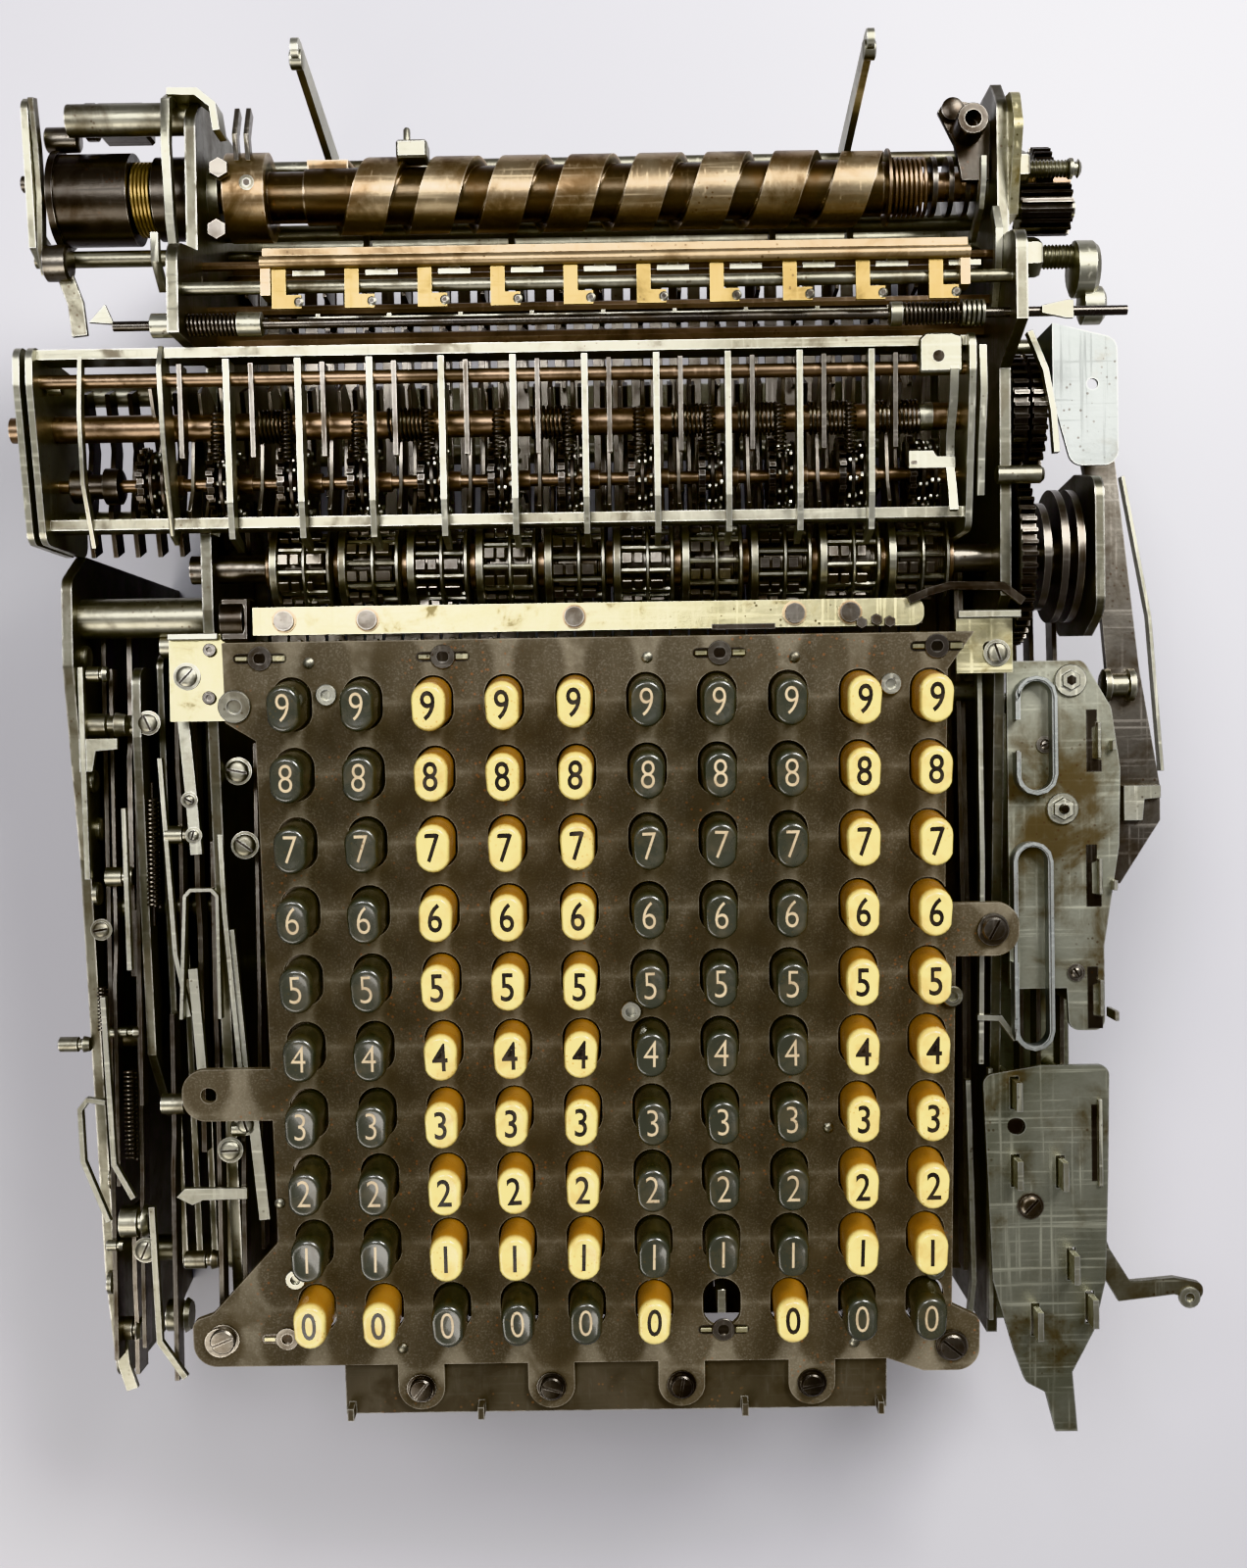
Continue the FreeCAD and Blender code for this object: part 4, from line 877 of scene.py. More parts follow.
# %% The drum cages
DRUM_Y, DRUM_Z = 57, 112
CORE = turned([(6.6, -8.5), (6.6, -5), (7.4, -4.6), (7.4, 6), (6.2, 6.4), (6.2, 8.5)], axis="X", sides=18)
DISCS = [turned([(11.4, x), (12, x + 0.3), (12, x + wide - 0.3), (11.4, x + wide)], axis="X", sides=28)
         for x, wide in ((-8.5, 2.4), (0.6, 1.1), (7.3, 1.2))]
cage = [dress(CORE, "dark_steel"), *dress(DISCS, "bar_steel")]
STEPS = 9
for i in range(STEPS):
    turn = Matrix.Rotation(math.radians(360 / STEPS * i + 8), 4, "X")
    for step, (x0, x1) in enumerate(((-6, -3.2), (-2.6, -0.2), (1.9, 3.4 + 0.35 * i))):
        plate = bar((x0, -1.5, 9.6 + 0.4 * step), (x1, 1.5, 11.4))
        plate.matrix_world = turn
        cage.append(dress(plate, "dark_steel"))
    rod = turned([(0.8, -8), (0.8, 7.8)], axis="X", at=(0, 0, 9.2), sides=8)
    rod.matrix_world = Matrix.Rotation(math.radians(360 / STEPS * i + 28), 4, "X")
    cage.append(dress(rod, "bar_steel"))
CAGE = join(cage)
cages = []
for column in COLUMNS:
    x = (GRID.x / MM) + (column - 5.5) * KEY_PITCH
    turn = Matrix.Rotation(math.radians(25 * column), 4, "X")
    cages.append(put(CAGE, Matrix.Translation(Vector((x, DRUM_Y, DRUM_Z)) * MM) @ turn))
bpy.data.objects.remove(CAGE)
done("drum_cages", cages, "drums", "dark_steel", 30, ["stepped_drums"])
spacers = copies(turned([(5.2, 0), (6.4, 0.5), (6.4, 2.2), (5.2, 2.6)], axis="X", sides=16),
                 [(GRID.x / MM + (i - 5) * KEY_PITCH - 1.3, DRUM_Y, DRUM_Z) for i in range(11)])
done("drum_collars", spacers, "drums", "brown_rod")

# %% [markdown]
# The register is a comb of thin strips with toothed wheels between them. Every wheel has a disc beside it with a
# ring of polished pins, which look like bright beads from above. Dark pawls and small springs fill the rest.

# %% Pin discs, pawls and springs in the register
WHEEL_Y, WHEEL_Z = 79.1, 124
FIRST_WHEEL = -129.6
WHEELS, PINS, LINKS = 12, 10, 38
parts = [dress(collar(9.4, 1.1, 0.2, 0.2, axis="X", sides=22), "black_steel")]
for i in range(PINS):
    pin = turned([(0.62, -0.7), (0.75, -0.5), (0.75, 1.7), (0.5, 1.95)], axis="X", at=(0, 0, 8.2), sides=8)
    pin.matrix_world = Matrix.Rotation(math.radians(360 / PINS * i), 4, "X")
    parts.append(dress(pin, "strip_steel"))
disc = join(parts)
pin_discs = []
for i in range(WHEELS):
    for shift in (3.2, 6.4):
        turn = Matrix.Rotation(math.radians(13 * i + 9 * shift), 4, "X")
        where = Vector((FIRST_WHEEL + KEY_PITCH * i + shift, WHEEL_Y, WHEEL_Z)) * MM
        pin_discs.append(put(disc, Matrix.Translation(where) @ turn))
bpy.data.objects.remove(disc)
done("pin_discs", pin_discs, "wheels", "black_steel")

pawl = cut_out([(68, 120), (84, 113.5), (104, 118), (108, 128), (104, 135), (98, 132), (92, 124), (76, 126),
                (70, 130), (67, 127)], 1.1, "YZ")
FIRST_PAWL, LAST_PAWL = -128, 92
pawl_places = [(FIRST_PAWL + KEY_PITCH * i + dx, dy, dz) for i in range(WHEELS)
               for dx, dy, dz in ((2, 0, -2), (11.6, 1, 1), (14.8, -1, -4))]
done("carry_pawls", copies(pawl, [at for at in pawl_places if at[0] < LAST_PAWL]), "frame", "dark_steel")
link = strip([(62.5, 104), (74, 108), (92, 104), (108, 110)], 7, 1.4, "YZ")
links = copies(link, [(-150 + KEY_PITCH / 3 * i, 0, 0) for i in range(LINKS)])
done("carry_links", links, "frame", "black_steel")
SHAFT_Y, SHAFT_Z = 94.5, 126
winding = coil(4.35, 0.42, 11.5, 10, axis="X", sides=5, steps=12)
windings = copies(winding, [(x, SHAFT_Y, SHAFT_Z) for x in (-99, -62, -23, 15.5, 33.5, 53, 72)])
done("shaft_springs", windings, "clearing_shaft", "spring")
small = coil(1.5, 0.33, 13, 11, axis="Y", sides=5, steps=10)
small_coils = copies(small, [(-107.5 + KEY_PITCH * i, 84, 133) for i in range(10)])
done("pawl_springs", small_coils, "frame", "spring")
print("wheels and discs stand", KEY_PITCH, "mm apart")

# %% [markdown]
# The ends of the register are crowded with its adjusting pieces: a wide strip and a short one on the left, a black
# hub on the wheel rod, and on the right a collar with a clamping hole, a bent spring strip and a flat stop. A thin
# black disc paints the shade in the clamping hole.

# %% Register end pieces
narrow = strip([(111, 139.5), (96, 141), (78, 139), (62, 130)], 3, 1.2, "YZ", -142.5)
wide = cut_out([(62, 128), (66, 126), (92, 131), (112, 136), (113.5, 141.5), (108, 144), (88, 141), (64, 133)],
               1.4, "YZ", -120.8)
done("left_register_strips", [narrow, wide], "frame", "strip_steel")
hub = turned([(4, 0), (4.6, 0.4), (4.6, 5), (3.4, 5.4), (3.4, 9), (5, 9.4), (5, 13.4), (4, 14)], axis="X",
             at=(-149.6, WHEEL_Y, WHEEL_Z))
done("register_hub", [hub], "frame", "black_steel")
thumb_nut = collar(2.3, 4.2, 0.7, 0.3, axis="X", at=(-152.9, 104.6, 133.5), sides=12)
done("register_thumb_nut", [thumb_nut], "frame", "bar_steel")
S_LINE = [(111, 139.4), (104, 141.6), (96, 139.5), (88, 134), (80, 133), (72, 136.5), (67, 138)]
spring_strip = strip(S_LINE, 1.4, 2.4, "YZ", 89.4)
stop_strip = strip([(110, 142), (98, 143), (84, 139), (71, 137)], 1.6, 2, "YZ", 97)
stop = cut_out([(79.4, 79), (92, 79), (92, 82.2), (87, 82.2), (86, 83.8), (79.4, 83.8)], 1.2, "XY", 133)
done("right_register_strips", [spring_strip, stop_strip, stop], "frame", "strip_steel")
clamp = cut_out([(81.3, 103.2), (92.8, 103.2), (92.8, 112.6), (90, 113.6), (83, 113.6), (81.3, 112)], 5.5, "XY",
                136.6, 0.5)
# Painted shade: a thin black disc on the clamp stands for the dark inside of its hole.
bore_shade_disc = turned([(1.6, 0), (1.6, 0.08)], at=(86.4, 107.4, 142.1), sides=14)
shaft_collar = collar(3.9, 4.8, 0.8, axis="X", at=(82.5, SHAFT_Y, SHAFT_Z))
done("register_clamp", [dress(clamp, "strip_steel"), dress(bore_shade_disc, "black_steel"), dress(shaft_collar, "strip_steel")],
     "frame", "strip_steel")

# %% [markdown]
# Behind the worm and the latch bar run more rods, a thin comb of stop strips, and the pairs of bright clips that
# hold the latch rod. Each brass tab swings on a tiny rivet in a round eye at its foot, and a thin black disc on the
# rivet paints the shade in the eye.

# %% Latch details
TAB_X = [-88.6 + KEY_PITCH * i for i in range(10)]
TAB_TOP = 149.4
rivets = copies(turned([(1.3, 0), (1.3, 0.2), (0.9, 0.5), (0.3, 0.6)], sides=10),
                [(x + 7.0, 122.4, TAB_TOP) for x in TAB_X])
# Painted shade: a thin black disc on each rivet stands for the dark inside of its eye.
eyes = copies(turned([(0.75, 0), (0.75, 0.06)], sides=10), [(x + 7.0, 122.4, TAB_TOP + 0.57) for x in TAB_X])
done("tab_rivets_and_eye_shade", dress(rivets, "bar_steel") + dress(eyes, "black_steel"), "tab_bar", "bar_steel")
segment = cut_out([(0, 0), (8.6, 0), (8.6, 1.5), (6, 1.5), (5.4, 2.3), (3.2, 2.3), (2.6, 1.5), (0, 1.5)], 0.9)
done("latch_clips", copies(segment, [(x + 5.2, 129.4, 147.6) for x in TAB_X]), "tab_bar", "strip_steel")
done("latch_back_strip", [bar((-91, 134.3, 148.6), (93, 136.4, 149.8), 0.15)], "tab_bar", "bronze")
comb = [bar((-84, 119.6, 139), (86, 120.9, 140.1), 0.15)]
comb += copies(strip([(120.8, 139), (121, 131), (123.4, 126)], 2.2, 1.3, "YZ"), [(x + 9.4, 0, 0) for x in TAB_X])
done("stop_comb", comb, "frame", "bar_steel")
rods = [wire([(-115, y, z), (105.5, y, z)], radius)
        for y, z, radius in ((143.5, 92, 1.8), (147, 84, 2.4), (128, 118, 1.6), (122, 108, 2.2), (139, 124, 1.3))]
done("rear_rods", rods, "frame", "brown_rod")
clips = [bar((x, 149.5, 92), (x + 1.8, 159.5, 98.6)) for x in (45.6, 68.1, -30, -72)]
done("rear_rod_clips", clips, "frame", "bar_steel")

# %% [markdown]
# The tripping rod lies in front of the latch bar. Two wire springs and their bushes stay with the frame while the rod
# slides through them, and only the bent flag at its right end travels with it.

# %% Tripping rod: springs, bushes and its bent end
TRIP_Y, TRIP_Z = 118.4, 143
left_coil = coil(2.65, 0.42, 13, 12, axis="X", at=(-112.3, TRIP_Y, TRIP_Z), sides=6)
right_coil = coil(2.65, 0.42, 14.6, 13, axis="X", at=(77, TRIP_Y, TRIP_Z), sides=6)
done("tripping_rod_coils", [left_coil, right_coil], "frame", "spring", stands_for=["rod_springs"])
bushes = [collar(3.2, length, 0.6, 0.3, axis="X", at=(x, TRIP_Y, TRIP_Z))
          for x, length in ((-122, 6.4), (-99.2, 6.9), (73.2, 3.6))]
ridged = [turned([(2.9, 0), (3.5, 0.25), (3.5, 0.9), (2.9, 1.1)], axis="X", at=(92 + 1.3 * i, TRIP_Y, TRIP_Z))
          for i in range(5)]
flag = cut_out([(0, -1), (6.5, -2.4), (8.4, -2.4), (8.4, 2.4), (6.5, 2.4), (0, 1)], 1.2, "XY", TRIP_Z + 1.4)
flag.location = Vector((113, TRIP_Y, 0)) * MM
done("tripping_rod_bushes", dress(bushes, "strip_steel") + dress(ridged, "bar_steel"), "frame", "bar_steel")
done("tripping_rod_flag", [flag], "trip", "bar_steel")

# %% [markdown]
# The worm's shaft carries a clamping screw in its hub, with a thin black hexagon on its head as painted shade in its
# socket, and at its right end a washer, a browned return spring and three thin flanges. A brass spring is wound on
# the clutch drum at its left end.

# %% Worm fittings
fittings = [dress(turned([(2.1, 0), (2.1, 0.7), (1.6, 0.8)], at=(-100.5, WORM_Y + 0.6, 121.6), sides=16),
                  "bar_steel"),
            # Painted shade: a thin black hexagon stands for the dark inside of the screw's socket.
            dress(turned([(1.1, 0), (1.1, 0.3)], at=(-100.5, WORM_Y + 0.6, 122.2), sides=6), "black_steel"),
            dress(collar(10.6, 1.1, 2.2, 0.2, axis="X", at=(77.2, WORM_Y, WORM_Z)), "brown_rod"),
            dress(coil(7.9, 0.55, 9.5, 7, axis="X", at=(79, WORM_Y, WORM_Z), steps=18), "brown_rod"),
            dress(coil(9.9, 0.5, 5.4, 5, axis="X", at=(-133.6, WORM_Y, WORM_Z), steps=18), "brass")]
fittings += dress([collar(8.2, 2, 4.2, 0.3, axis="X", at=(x, WORM_Y, WORM_Z)) for x in (89.5, 94, 98.5)],
                  "dark_steel")
done("worm_fittings", fittings, "shift_worm", "brown_rod")

# %% [markdown]
# Nuts are turned hexagons: a circle of six sides with its corners broken by a short cone. Threaded studs are a core
# with fine rings.

# %% Nuts, studs and caps at the rear right


def nut(radius, height, **where):
    """A hexagon nut with chamfered corners."""
    return turned([(radius * 0.9, 0), (radius, height * 0.15), (radius, height * 0.85), (radius * 0.9, height)],
                  sides=6, **where)


def thread(radius, length, **where):
    """A threaded stud: ridges about a millimetre apart."""
    rings = []
    for i in range(int(length)):
        rings += [(radius * 0.82, i), (radius, i + 0.45)]
    return turned(rings + [(radius * 0.82, length)], sides=14, **where)


rear_right = [nut(5.2, 6.2, axis="X", at=(108.2, 162, 124)), thread(2.5, 11, axis="X", at=(114.4, 162, 124)),
              turned([(2.6, 0), (2.9, 0.4), (2.9, 1.2), (1.9, 1.5), (1.9, 2.4), (2.6, 2.8), (1.6, 3.6)], axis="X",
                     at=(125.5, 162, 124)),
              nut(5.6, 9, axis="X", at=(109, 138.5, 122)), thread(3.4, 9, axis="X", at=(118, 138.5, 122))]
dress(rear_right, "bar_steel")
rear_right += dress([turned([(6, 0), (7.8, 0.8), (7.8, 5.6), (6.6, 7), (3, 7.4)], axis="X", at=(127, 135.5, 120)),
                     turned([(4.2, 0), (5.3, 0.5), (5.3, 5.6), (4, 6.6)], axis="X", at=(130, 126, 118)),
                     strip([(144.6, 120), (150, 131), (156, 134.5), (162, 135)], 3, 1.5, "YZ", 99.4),
                     strip([(123.8, 128), (134, 134), (142, 135), (149, 131)], 3, 2, "YZ", 103)], "strip_steel")
WING = [(97, 160), (104.5, 160), (105, 176), (101, 181), (93, 182.5), (90.5, 179), (95, 170)]
rear_right += dress([washer(4.3, 2.3, 9, depth=6, at=(98.5, 173.8, 122)),
                     nut(4.6, 5.8, axis="X", at=(96.4, 137.5, 120)),
                     turned([(2.9, 0), (3.1, 0.3), (3.1, 1.5), (2, 1.9)], at=(94.4, 179.2, 122)),
                     cut_out(WING, 2, "XY", 119.8)], "black_steel")
done("rear_right_fittings", rear_right, "frame", "bar_steel")

# %% [markdown]
# At the rear left a twisted lever swings with the left control. Rollers and a block stand beside it, and bent
# strips run forward from the rear edge to the latch bar.

# %% Rear left: twisted lever, knuckle, rollers and bent strips
twist = [strip([(186, 124.4), (174, 121), (160, 118.6), (146, 119), (140, 116)], 3.6, 1.6, "YZ", -159.3),
         strip([(-158, 141), (-153, 140.4), (-149.6, 131), (-148.6, 122)], 4.4, 1.6, "XY", 117)]
knuckle = [turned([(4.2, 0), (5, 0.5), (5, 6.4), (4.2, 7)], axis="X", at=(-157.2, 141.8, 120)),
           turned([(1.9, 0), (2.3, 0.3), (2.3, 2.4), (1.5, 2.8)], axis="X", at=(-163.4, 163.9, 119.5))]
done("rear_left_lever", dress(twist, "bar_steel") + dress(knuckle, "dark_steel"), "left_control",
     "strip_steel")
left_rear = dress([collar(3.5, 9.4, axis="X", at=(-158.8, 178.6, 112)),
                   collar(5.2, 3.4, axis="X", at=(-147.6, 183.4, 112)),
                   bar((-144, 179.2, 104), (-130, 187.6, 116), 0.8),
                   collar(3.8, 12.4, 0.8, axis="X", at=(-130, 183.6, 112))], "dark_steel")
left_rear += dress([strip([(130, 120), (150, 129), (170, 132.5), (181, 131.6), (185.4, 124)], 3.2, 2.4, "YZ",
                          -121),
                    strip([(-120, 184.8), (-112, 184.6), (-107.6, 181), (-106.6, 174)], 2, 9, "XY", 122),
                    strip([(134, 120), (140, 127.5), (147.4, 128)], 2.6, 2.2, "YZ", -125.6)], "strip_steel")
left_rear += dress([strip([(184, 116), (176, 120), (170, 118)], 3.4, 1.4, "YZ", x) for x in (-104.4, -101.2)],
                   "dark_steel")
left_rear += dress([nut(3.3, 4.2, at=(-114.9, 134.4, 121.5)), nut(3, 2.6, at=(-107.6, 165.9, 122.6)),
                    nut(3, 2.6, at=(-108.4, 149.1, 122.6))], "dark_steel")
left_rear += dress([cut_out([(-144, 124), (-137, 123.4), (-139.4, 129)], 1.4, "XY", 124)], "strip_steel")
stud = [bar((-59.4, 169.6, 112), (-50.8, 174.6, 120), 0.6),
        turned([(1, 0), (1, 5), (0.6, 5.6)], axis="Y", at=(-56.6, 173, 117), sides=10)]
left_rear += dress(stud, "bar_steel")
done("rear_left_fittings", left_rear, "frame", "bar_steel")

# %% [markdown]
# The left bay holds the trains that the function keys pull: long strips on edge, some cranked, with studs, rollers
# and springs between them. They stand at different heights, so that each can pass over or under its neighbour.

# %% Long levers in the left bay
# Each is (x, front, rear, height of the middle line, width, thickness).
BAY = [(-150.5, -172, 48, 96, 7, 1.4), (-147.6, -120, 30, 101, 5, 1.2), (-144.4, -60, 46, 92, 8, 1.6),
       (-141.8, -168, -40, 98, 6, 1.3), (-139.6, -96, 20, 104, 5, 1.2), (-131.2, -176, -70, 103, 6, 1.4),
       (-127.0, -60, 44, 104, 5, 1.3), (-122.4, -110, 20, 102, 6, 1.6), (-117.6, -170, -20, 104, 6, 1.4),
       (-110.4, -150, -88, 106, 5, 1.4), (-107.0, -140, 8, 96, 6, 1.2), (-145.9, -178, -128, 90, 9, 1.4)]
bay = []
for x, front, rear, z, width, thick in BAY:
    middle = front + (rear - front) * random.uniform(0.35, 0.65)
    rise = random.choice((-2, -1, 1, 2))
    bay.append(strip([(front, z), (middle - 6, z), (middle + 4, z + rise), (rear, z + rise)], width, thick, "YZ", x))
done("left_bay_levers", bay, "frame", "dark_steel")

# %% [markdown]
# Over the dark levers lie bright strips that catch the window's light: straight ones, one folded into a hairpin,
# one bent like an ear, and a few flat tabs.

# %% Bright strips in the left bay
# Each is (path, width, height).
BRIGHT_STRIPS = [([(-123.2, 17.5), (-121.4, -4), (-120, -23.5)], 3.4, 112),
                 ([(-114.6, 9.4), (-112.6, -40), (-109, -84.5)], 1.5, 111),
                 ([(-122.2, -56), (-120, -87)], 2.8, 110), ([(-111, -45), (-107.6, -86)], 1.8, 110),
                 ([(-105.8, -98), (-103, -128)], 3.2, 110),
                 ([(-136.4, -124.9), (-134.8, -164), (-127.6, -174.5)], 1.8, 106),
                 ([(-148.6, -64), (-146.4, -112), (-141, -122)], 1.6, 108),
                 ([(-151.6, 30), (-150.6, -30)], 1.6, 113), ([(-140.4, -10), (-139.6, -56)], 1.4, 112),
                 ([(-131, 4), (-127.6, -52), (-124, -70)], 1.4, 108)]
bright = [strip(path, width, 2.2, "XY", z) for path, width, z in BRIGHT_STRIPS]
bright.append(strip([(-114.4, -70.3), (-114.6, -35.4), (-116.2, -33.6), (-122.2, -33.6), (-123.8, -35.4),
                     (-125.4, -70.3)], 1.1, 3, "XY", 110.5))
bright.append(strip([(-149.6, -95), (-154.8, -94.2), (-157, -97), (-156.4, -112), (-151.6, -124),
                     (-149.4, -129.5)], 1.5, 2.4, "XY", 104))
bright.append(cut_out([(-128.6, -121.6), (-126, -119), (-108.2, -119.2), (-108.2, -122.4), (-121, -122.6),
                       (-124, -124)], 1.6, "XY", 109))
bright.append(cut_out([(-152.4, 9.8), (-141.4, 9.8), (-141.4, 6.6), (-147.6, 6.2), (-148.6, 0.4), (-152.4, 0.4)],
                      1.5, "XY", 113.5))
bright.append(strip([(-150.8, -165.5), (-150, -176), (-147.6, -183.4)], 3.6, 2, "XY", 90))
done("left_bay_bright_strips", bright, "frame", "strip_steel")

# %% [markdown]
# Shouldered studs lie across the bay, screws and rivets hold its plates, and four springs pull its levers back.

# %% Studs, screws and springs in the left bay


def stud_across(x, y, z, radius, length):
    """A shouldered stud that lies across the machine, with a groove near its end."""
    return turned([(radius * 0.7, 0), (radius, 0.4), (radius, length * 0.62), (radius * 0.72, length * 0.66),
                   (radius * 0.72, length * 0.78), (radius * 1.1, length * 0.8), (radius * 0.9, length)], axis="X",
                  at=(x, y, z), sides=16)


# Each is (x, y, z, radius, length).
ACROSS = [(-154.7, 13.6, 110, 3.3, 14.6), (-164.6, -79, 100, 2.2, 9.2), (-151.2, -75.5, 101, 1.5, 11),
          (-147.6, -131, 100, 4.6, 8.8), (-152, -138, 100, 1.6, 5), (-135.6, -160, 96, 4.6, 7.2),
          (-131, 36, 106, 3.4, 13), (-130.4, -18, 108, 2.6, 8.4), (-148.8, -30, 104, 2.8, 8),
          (-134, -96, 104, 3, 11), (-128.6, -142, 102, 2.6, 10), (-151, -165, 92, 3.4, 7),
          (-112.4, -102, 110, 2.4, 7), (-150.6, 28, 112, 2.2, 6)]
done("left_bay_studs", [stud_across(*sizes) for sizes in ACROSS], "frame", "bar_steel")
heads = []
for x, y, z, radius in ((-108.8, -0.1, 109, 3.1), (-107.2, -21.2, 109, 3.1), (-112.6, -108, 111, 2.8),
                        (-108, -100.6, 111, 2.4), (-121.6, -8, 113.8, 1.5), (-120.6, -18, 113.8, 1.5),
                        (-147.8, -44.5, 112, 2.2), (-133.6, 14, 111, 2.6), (-139, -138, 105, 2.8)):
    heads += screw_head(x, y, z, radius, 1.8, random.uniform(0, 3), metal="bar_steel")
done("left_bay_screws", heads, "frame", "bar_steel")
side_rivets = [turned([(3.4, 0), (3.4, 1.2), (2.9, 1.7), (1.2, 1.8)], axis="X", at=(-152.6, y, z), sides=18)
               for y, z in ((33, 108), (-2.3, 104), (-16.5, 98), (-35, 102), (-46, 96), (-120, 92), (-150, 96))]
done("left_plate_rivets", side_rivets, "frame", "bar_steel")
springs = [coil(radius, thick, length, turns, axis="Y", at=at, sides=5, steps=10)
           for radius, thick, length, turns, at in ((1.7, 0.38, 31, 24, (-134.2, -38.7, 107)),
                                                    (1.5, 0.34, 22, 18, (-118.2, 20, 108.4)),
                                                    (1.3, 0.3, 13, 12, (-150.8, -75, 103)),
                                                    (1.6, 0.36, 26, 20, (-143, -112, 104)))]
springs += [wire([(-134.2, y0, 107), (-134.2, y1, 107)], 0.4) for y0, y1 in ((-44, -38.6), (-7.8, -3))]
done("left_bay_springs", springs, "frame", "spring")

# %% [markdown]
# On the right, two guide clips of thin spring strip stand round the keys of the upper control plate. Hexagon nuts
# and washers hold the plate, slots let its tabs through, and the key blades below have rubbed, shiny tops. The
# slots, and a hole and a slot in the lower plate, are thin black sheets of painted shade.

# %% Nuts, slots and tabs on the right control plates
UPPER_Z, LOWER_Z = 118, 116
REAR_NUT, FRONT_NUT = (126.2, 21.8), (123.6, -14)
right = dress([washer(4.6, 2.6, 1.0, depth=0.3, at=(*REAR_NUT, UPPER_Z)), nut(2.9, 1.9, at=(*REAR_NUT, UPPER_Z)),
               washer(4.5, 2.4, 1.0, depth=0.3, at=(*FRONT_NUT, UPPER_Z)), nut(3.3, 2.6, at=(*FRONT_NUT, UPPER_Z))],
              "strip_steel")
right += dress([turned([(1.5, 0), (1.5, 0.1)], at=(*REAR_NUT, UPPER_Z + 1.88), sides=6),
                turned([(1.6, 0), (1.2, 1.4)], at=(*FRONT_NUT, UPPER_Z + 2.4), sides=12)], "black_steel")
# Painted shade: the slots are thin black sheets on the plate, standing for their dark insides.
SLOT_SHADE_OUTLINES = [[(130.6, 13.6), (133.6, 13.6), (133.6, 9), (132.2, 8.4), (132.2, 0), (134.8, -0.6), (134.8, -3.8),
          (130.6, -3.8)]]
SLOT_SHADE_OUTLINES += [[(x - 0.4, y + shift) for x, y in SLOT_SHADE_OUTLINES[0]] for shift in (-37.8, -72)]
right += dress([cut_out(outline, 0.08, "XY", UPPER_Z + 0.01, 0) for outline in SLOT_SHADE_OUTLINES], "black_steel")
right += dress([bar((137, y - 1.4, UPPER_Z - 6), (138.2, y + 1.4, UPPER_Z + 3.2)) for y in (3.6, -35.5, -72)]
               + [bar((133.2, y - 5, UPPER_Z), (134.2, y + 5, UPPER_Z + 2.2)) for y in (5, -33, -67)], "strip_steel")
# Painted shade: a thin black disc for a hole in the lower plate and a black bar for the slot under the strip.
right += dress([turned([(2.3, 0), (2.3, 0.06)], at=(110, -103.4, LOWER_Z + 0.02), sides=16),
                bar((131.4, -119.3, LOWER_Z + 0.02), (133, -97.6, LOWER_Z + 0.08), 0)], "black_steel")
right += dress([strip([(133.7, -96), (133.7, -120.6)], 1.1, 1.3, "XY", LOWER_Z)], "strip_steel")
right += screw_head(113.9, -126, LOWER_Z, 2.9, 1.6, 0.8)
right += screw_head(127, -60, UPPER_Z, 1.6, 1.1, 2.1) + screw_head(119, 4, UPPER_Z, 1.5, 1.0, 0.4)
done("control_plate_fittings", right, "frame", "strip_steel")

# %% [markdown]
# The clips are open loops of thin strip, so each rim is a stadium path with a gap in its left side. Long strips,
# levers and studs fill the well between the keyboard and the control plates.

# %% Clip rims, long strips, levers and studs on the right
clip_rims = []
for cx, cy, wide, long, gap in ((115.6, 6.5, 10.6, 32.2, (-4, 11)), (114.2, -52, 10.2, 57.2, (-26, -20))):
    reach = long / 2 - wide / 2
    path = [(cx - wide / 2, cy + gap[1])]
    for start, centre in ((180, reach), (0, -reach)):
        for i in range(7):
            angle = math.radians(start - 30 * i)
            path.append((cx + wide / 2 * math.cos(angle), cy + centre + wide / 2 * math.sin(angle)))
    path.append((cx - wide / 2, cy + gap[0]))
    clip_rims.append(strip(path, 0.95, 1.2, "XY", 122.4))
done("guide_clip_rims", clip_rims, "frame", "pale_plating")
edges = [strip([(101.6, 26), (101.8, -30), (100.8, -86)], 1.5, 3, "XY", 112),
         strip([(98.6, -92), (99.6, -150), (97.6, -166)], 1.6, 3, "XY", 104),
         strip([(104.2, -88), (103.6, -160)], 1.4, 3, "XY", 108),
         strip([(113.4, 116.5), (117.6, 106), (119.6, 95), (120.4, 83.5)], 1.7, 3, "XY", 127),
         strip([(99.6, -72.6), (106, -72.8), (110.4, -79)], 1.6, 2.4, "XY", 114)]
done("right_edge_strips", edges, "frame", "strip_steel")
inner = [strip([(-150, z), (-60, z + 3), (0, z), (60, z - 3)], 8, 1.4, "YZ", x)
         for x, z in ((98.6, 92), (101.4, 84), (110.6, 80), (117, 84), (123, 80), (129, 84))]
done("right_bay_levers", inner, "frame", "dark_steel")
studs = [turned([(1.8, 0), (2.5, 0.4), (2.5, 12), (1.6, 13)], axis="X", at=(103.4, 77.4, 131)),
         *[turned([(2.4, 0), (3, 0.4), (3, 1.6), (2.2, 2)], axis="X", at=(132, y, z))
           for y, z in ((74.6, 124), (57.2, 122))],
         turned([(3.6, 0), (4.6, 0.5), (4.6, 2.2), (3.2, 2.6), (3.2, 7), (4.6, 7.4), (4.6, 9), (3.6, 9.6)], axis="X",
                at=(137, 20.6, 110))]
done("right_studs", studs, "frame", "bar_steel")
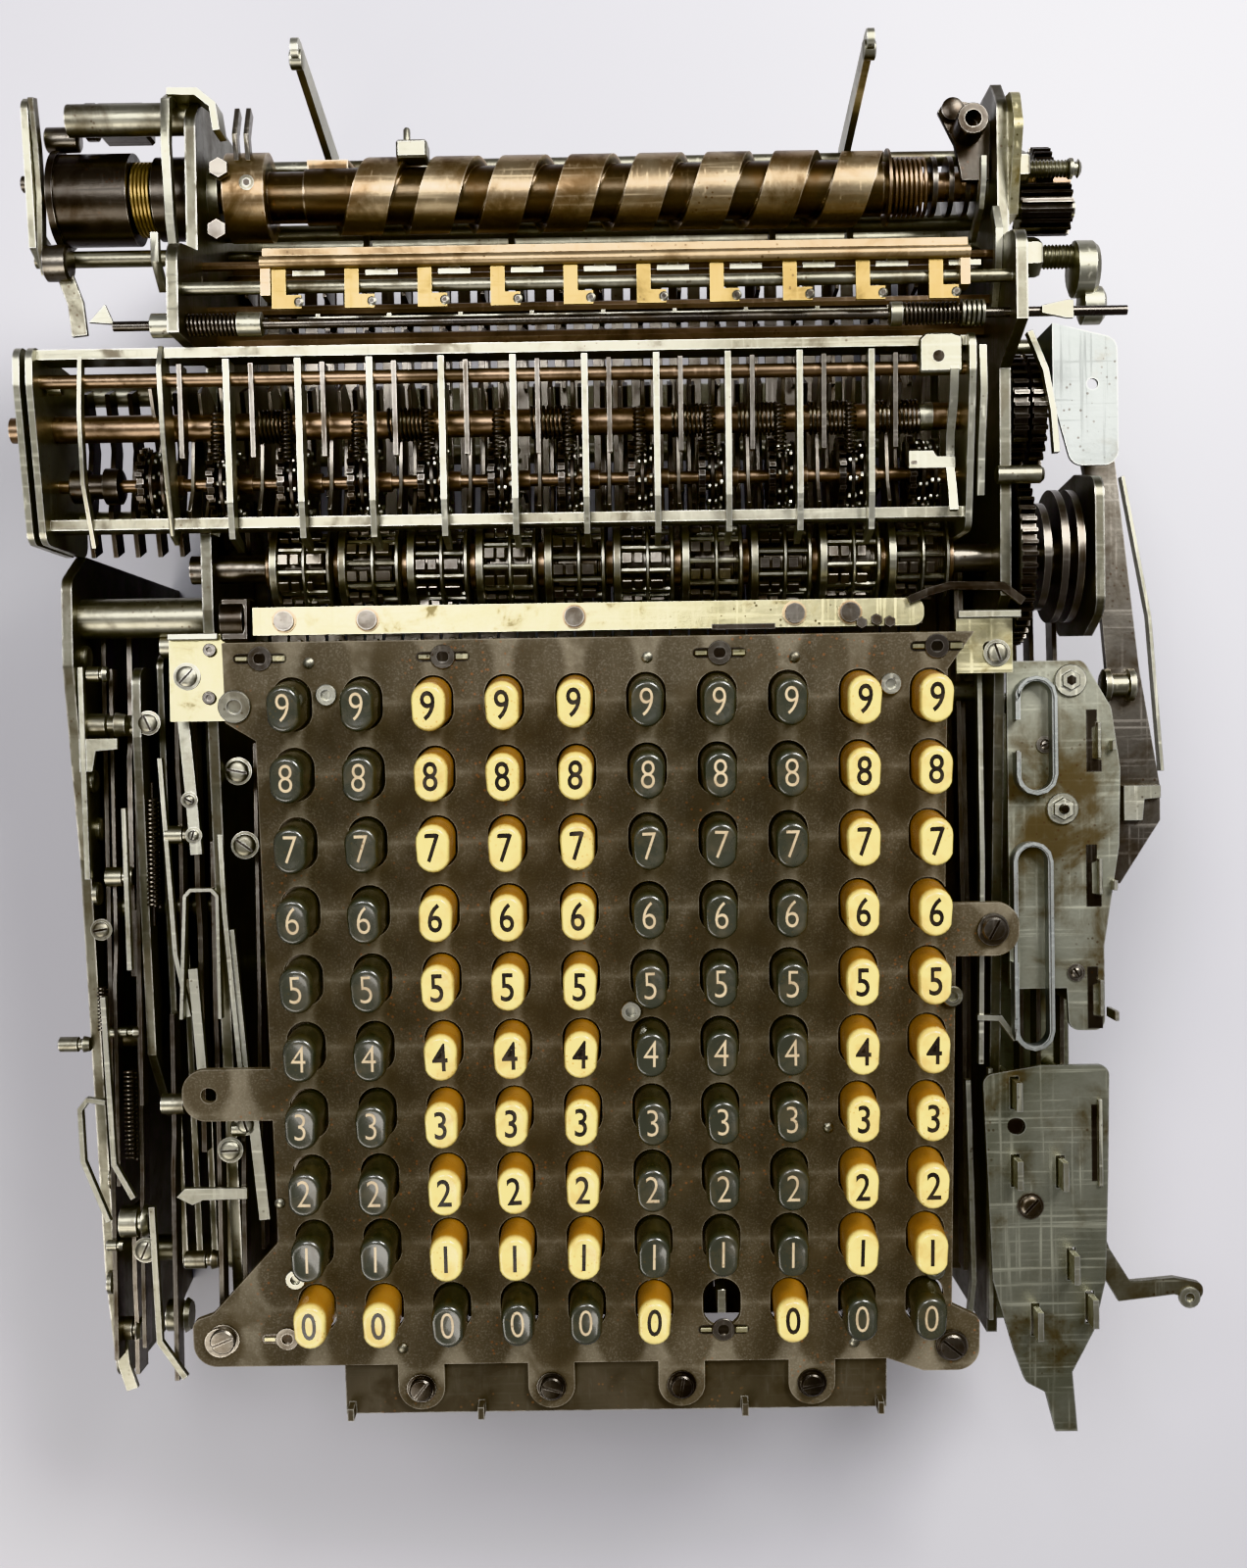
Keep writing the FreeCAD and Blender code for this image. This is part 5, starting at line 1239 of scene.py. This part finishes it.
step = [cut_out([(143, -8), (153.6, -8), (153.6, -11.6), (149, -12), (148.4, -18), (143, -18)], 2.2, "XY", 108.2),
        strip([(144.2, 80), (151.4, 40), (154.6, -4)], 1.1, 3.4, "XY", 105.2)]
done("operating_lever_edge", step, "operating", "strip_steel")
eye = washer(3.1, 1.3, 1.4, depth=1.0, at=(161.3, -155.4, 106.4), sides=16)
done("side_arm_eye", [eye], "side_arm", "strip_steel")

# %% [markdown]
# Round the cover bar sit the last small parts: a dark cranked lever and a bright stop at its right end, a block at
# its left end, two brackets with their screws, and a notch in its front edge whose shade is painted with a black bar.

# %% Cover bar fittings
BAR_TOP = 134
CRANK = [(78.6, 43.4), (84, 45.6), (90, 47.2), (104, 46.8), (109.6, 42.6)]
cover = dress([bar((92, 38.4, 133.4), (109.2, 40.6, 135), 0.3), bar((-124, 36.4, 124), (-110, 38.2, 126.2), 0.3)],
              "strip_steel")
cover += dress([strip(CRANK, 2.3, 1.8, "XY", BAR_TOP + 0.2),
                # Painted shade: a black bar stands for the dark inside of the notch.
                bar((25.6, 36.4, BAR_TOP - 1.4), (42.8, 37.9, BAR_TOP + 0.06), 0),
                turned([(5.2, 0), (5.8, 0.5), (5.8, 6.6), (5.2, 7)], axis="X", at=(-109.6, 42, 122), sides=18),
                bar((-109.4, 35.8, 118), (-101.2, 48, 126), 0.7)], "black_steel")
cover += dress([nut(1.7, 1.4, at=(x, y, BAR_TOP)) for x, y in ((66, 37.6), (70, 38.4), (73.6, 37.8))],
               "dark_steel")
for x, y, z, radius, turn in ((-119.1, 26.4, 124, 2.9, 0.8), (104.6, 29.5, 124, 2.8, 1.9)):
    cover += screw_head(x, y, z, radius, 1.5, turn, metal="bar_steel")
cover += dress([washer(1.9, 0.9, 1.2, at=(x, y, 124), sides=14) for x, y in ((-113, 20.4), (-112.6, 33.6))],
               "dark_steel")
for x, turn in ((-90, 0.3), (-67.5, -0.5), (-11.5, 0.9), (48, 0.2), (63, -0.8)):
    cover += screw_head(x, 40.5, BAR_TOP + 0.02, 2.4, 1.1, turn, metal="bronze")
done("cover_bar_fittings", cover, "frame", "strip_steel")
big_washer = washer(4.5, 2.0, 1.0, depth=0.8, sides=24)
on_plate(copies(big_washer, [(-101.2, 85.4, 0)]), "plate_washer", "frame", "bar_steel")
arm_ends = [collar(2.6, 3.5, 0.6, 0.3, axis="X", at=(x, 185.4, 149), sides=16) for x in (-82.8, 66.2)]
done("carriage_arm_rollers", arm_ends, "arms", "bar_steel")
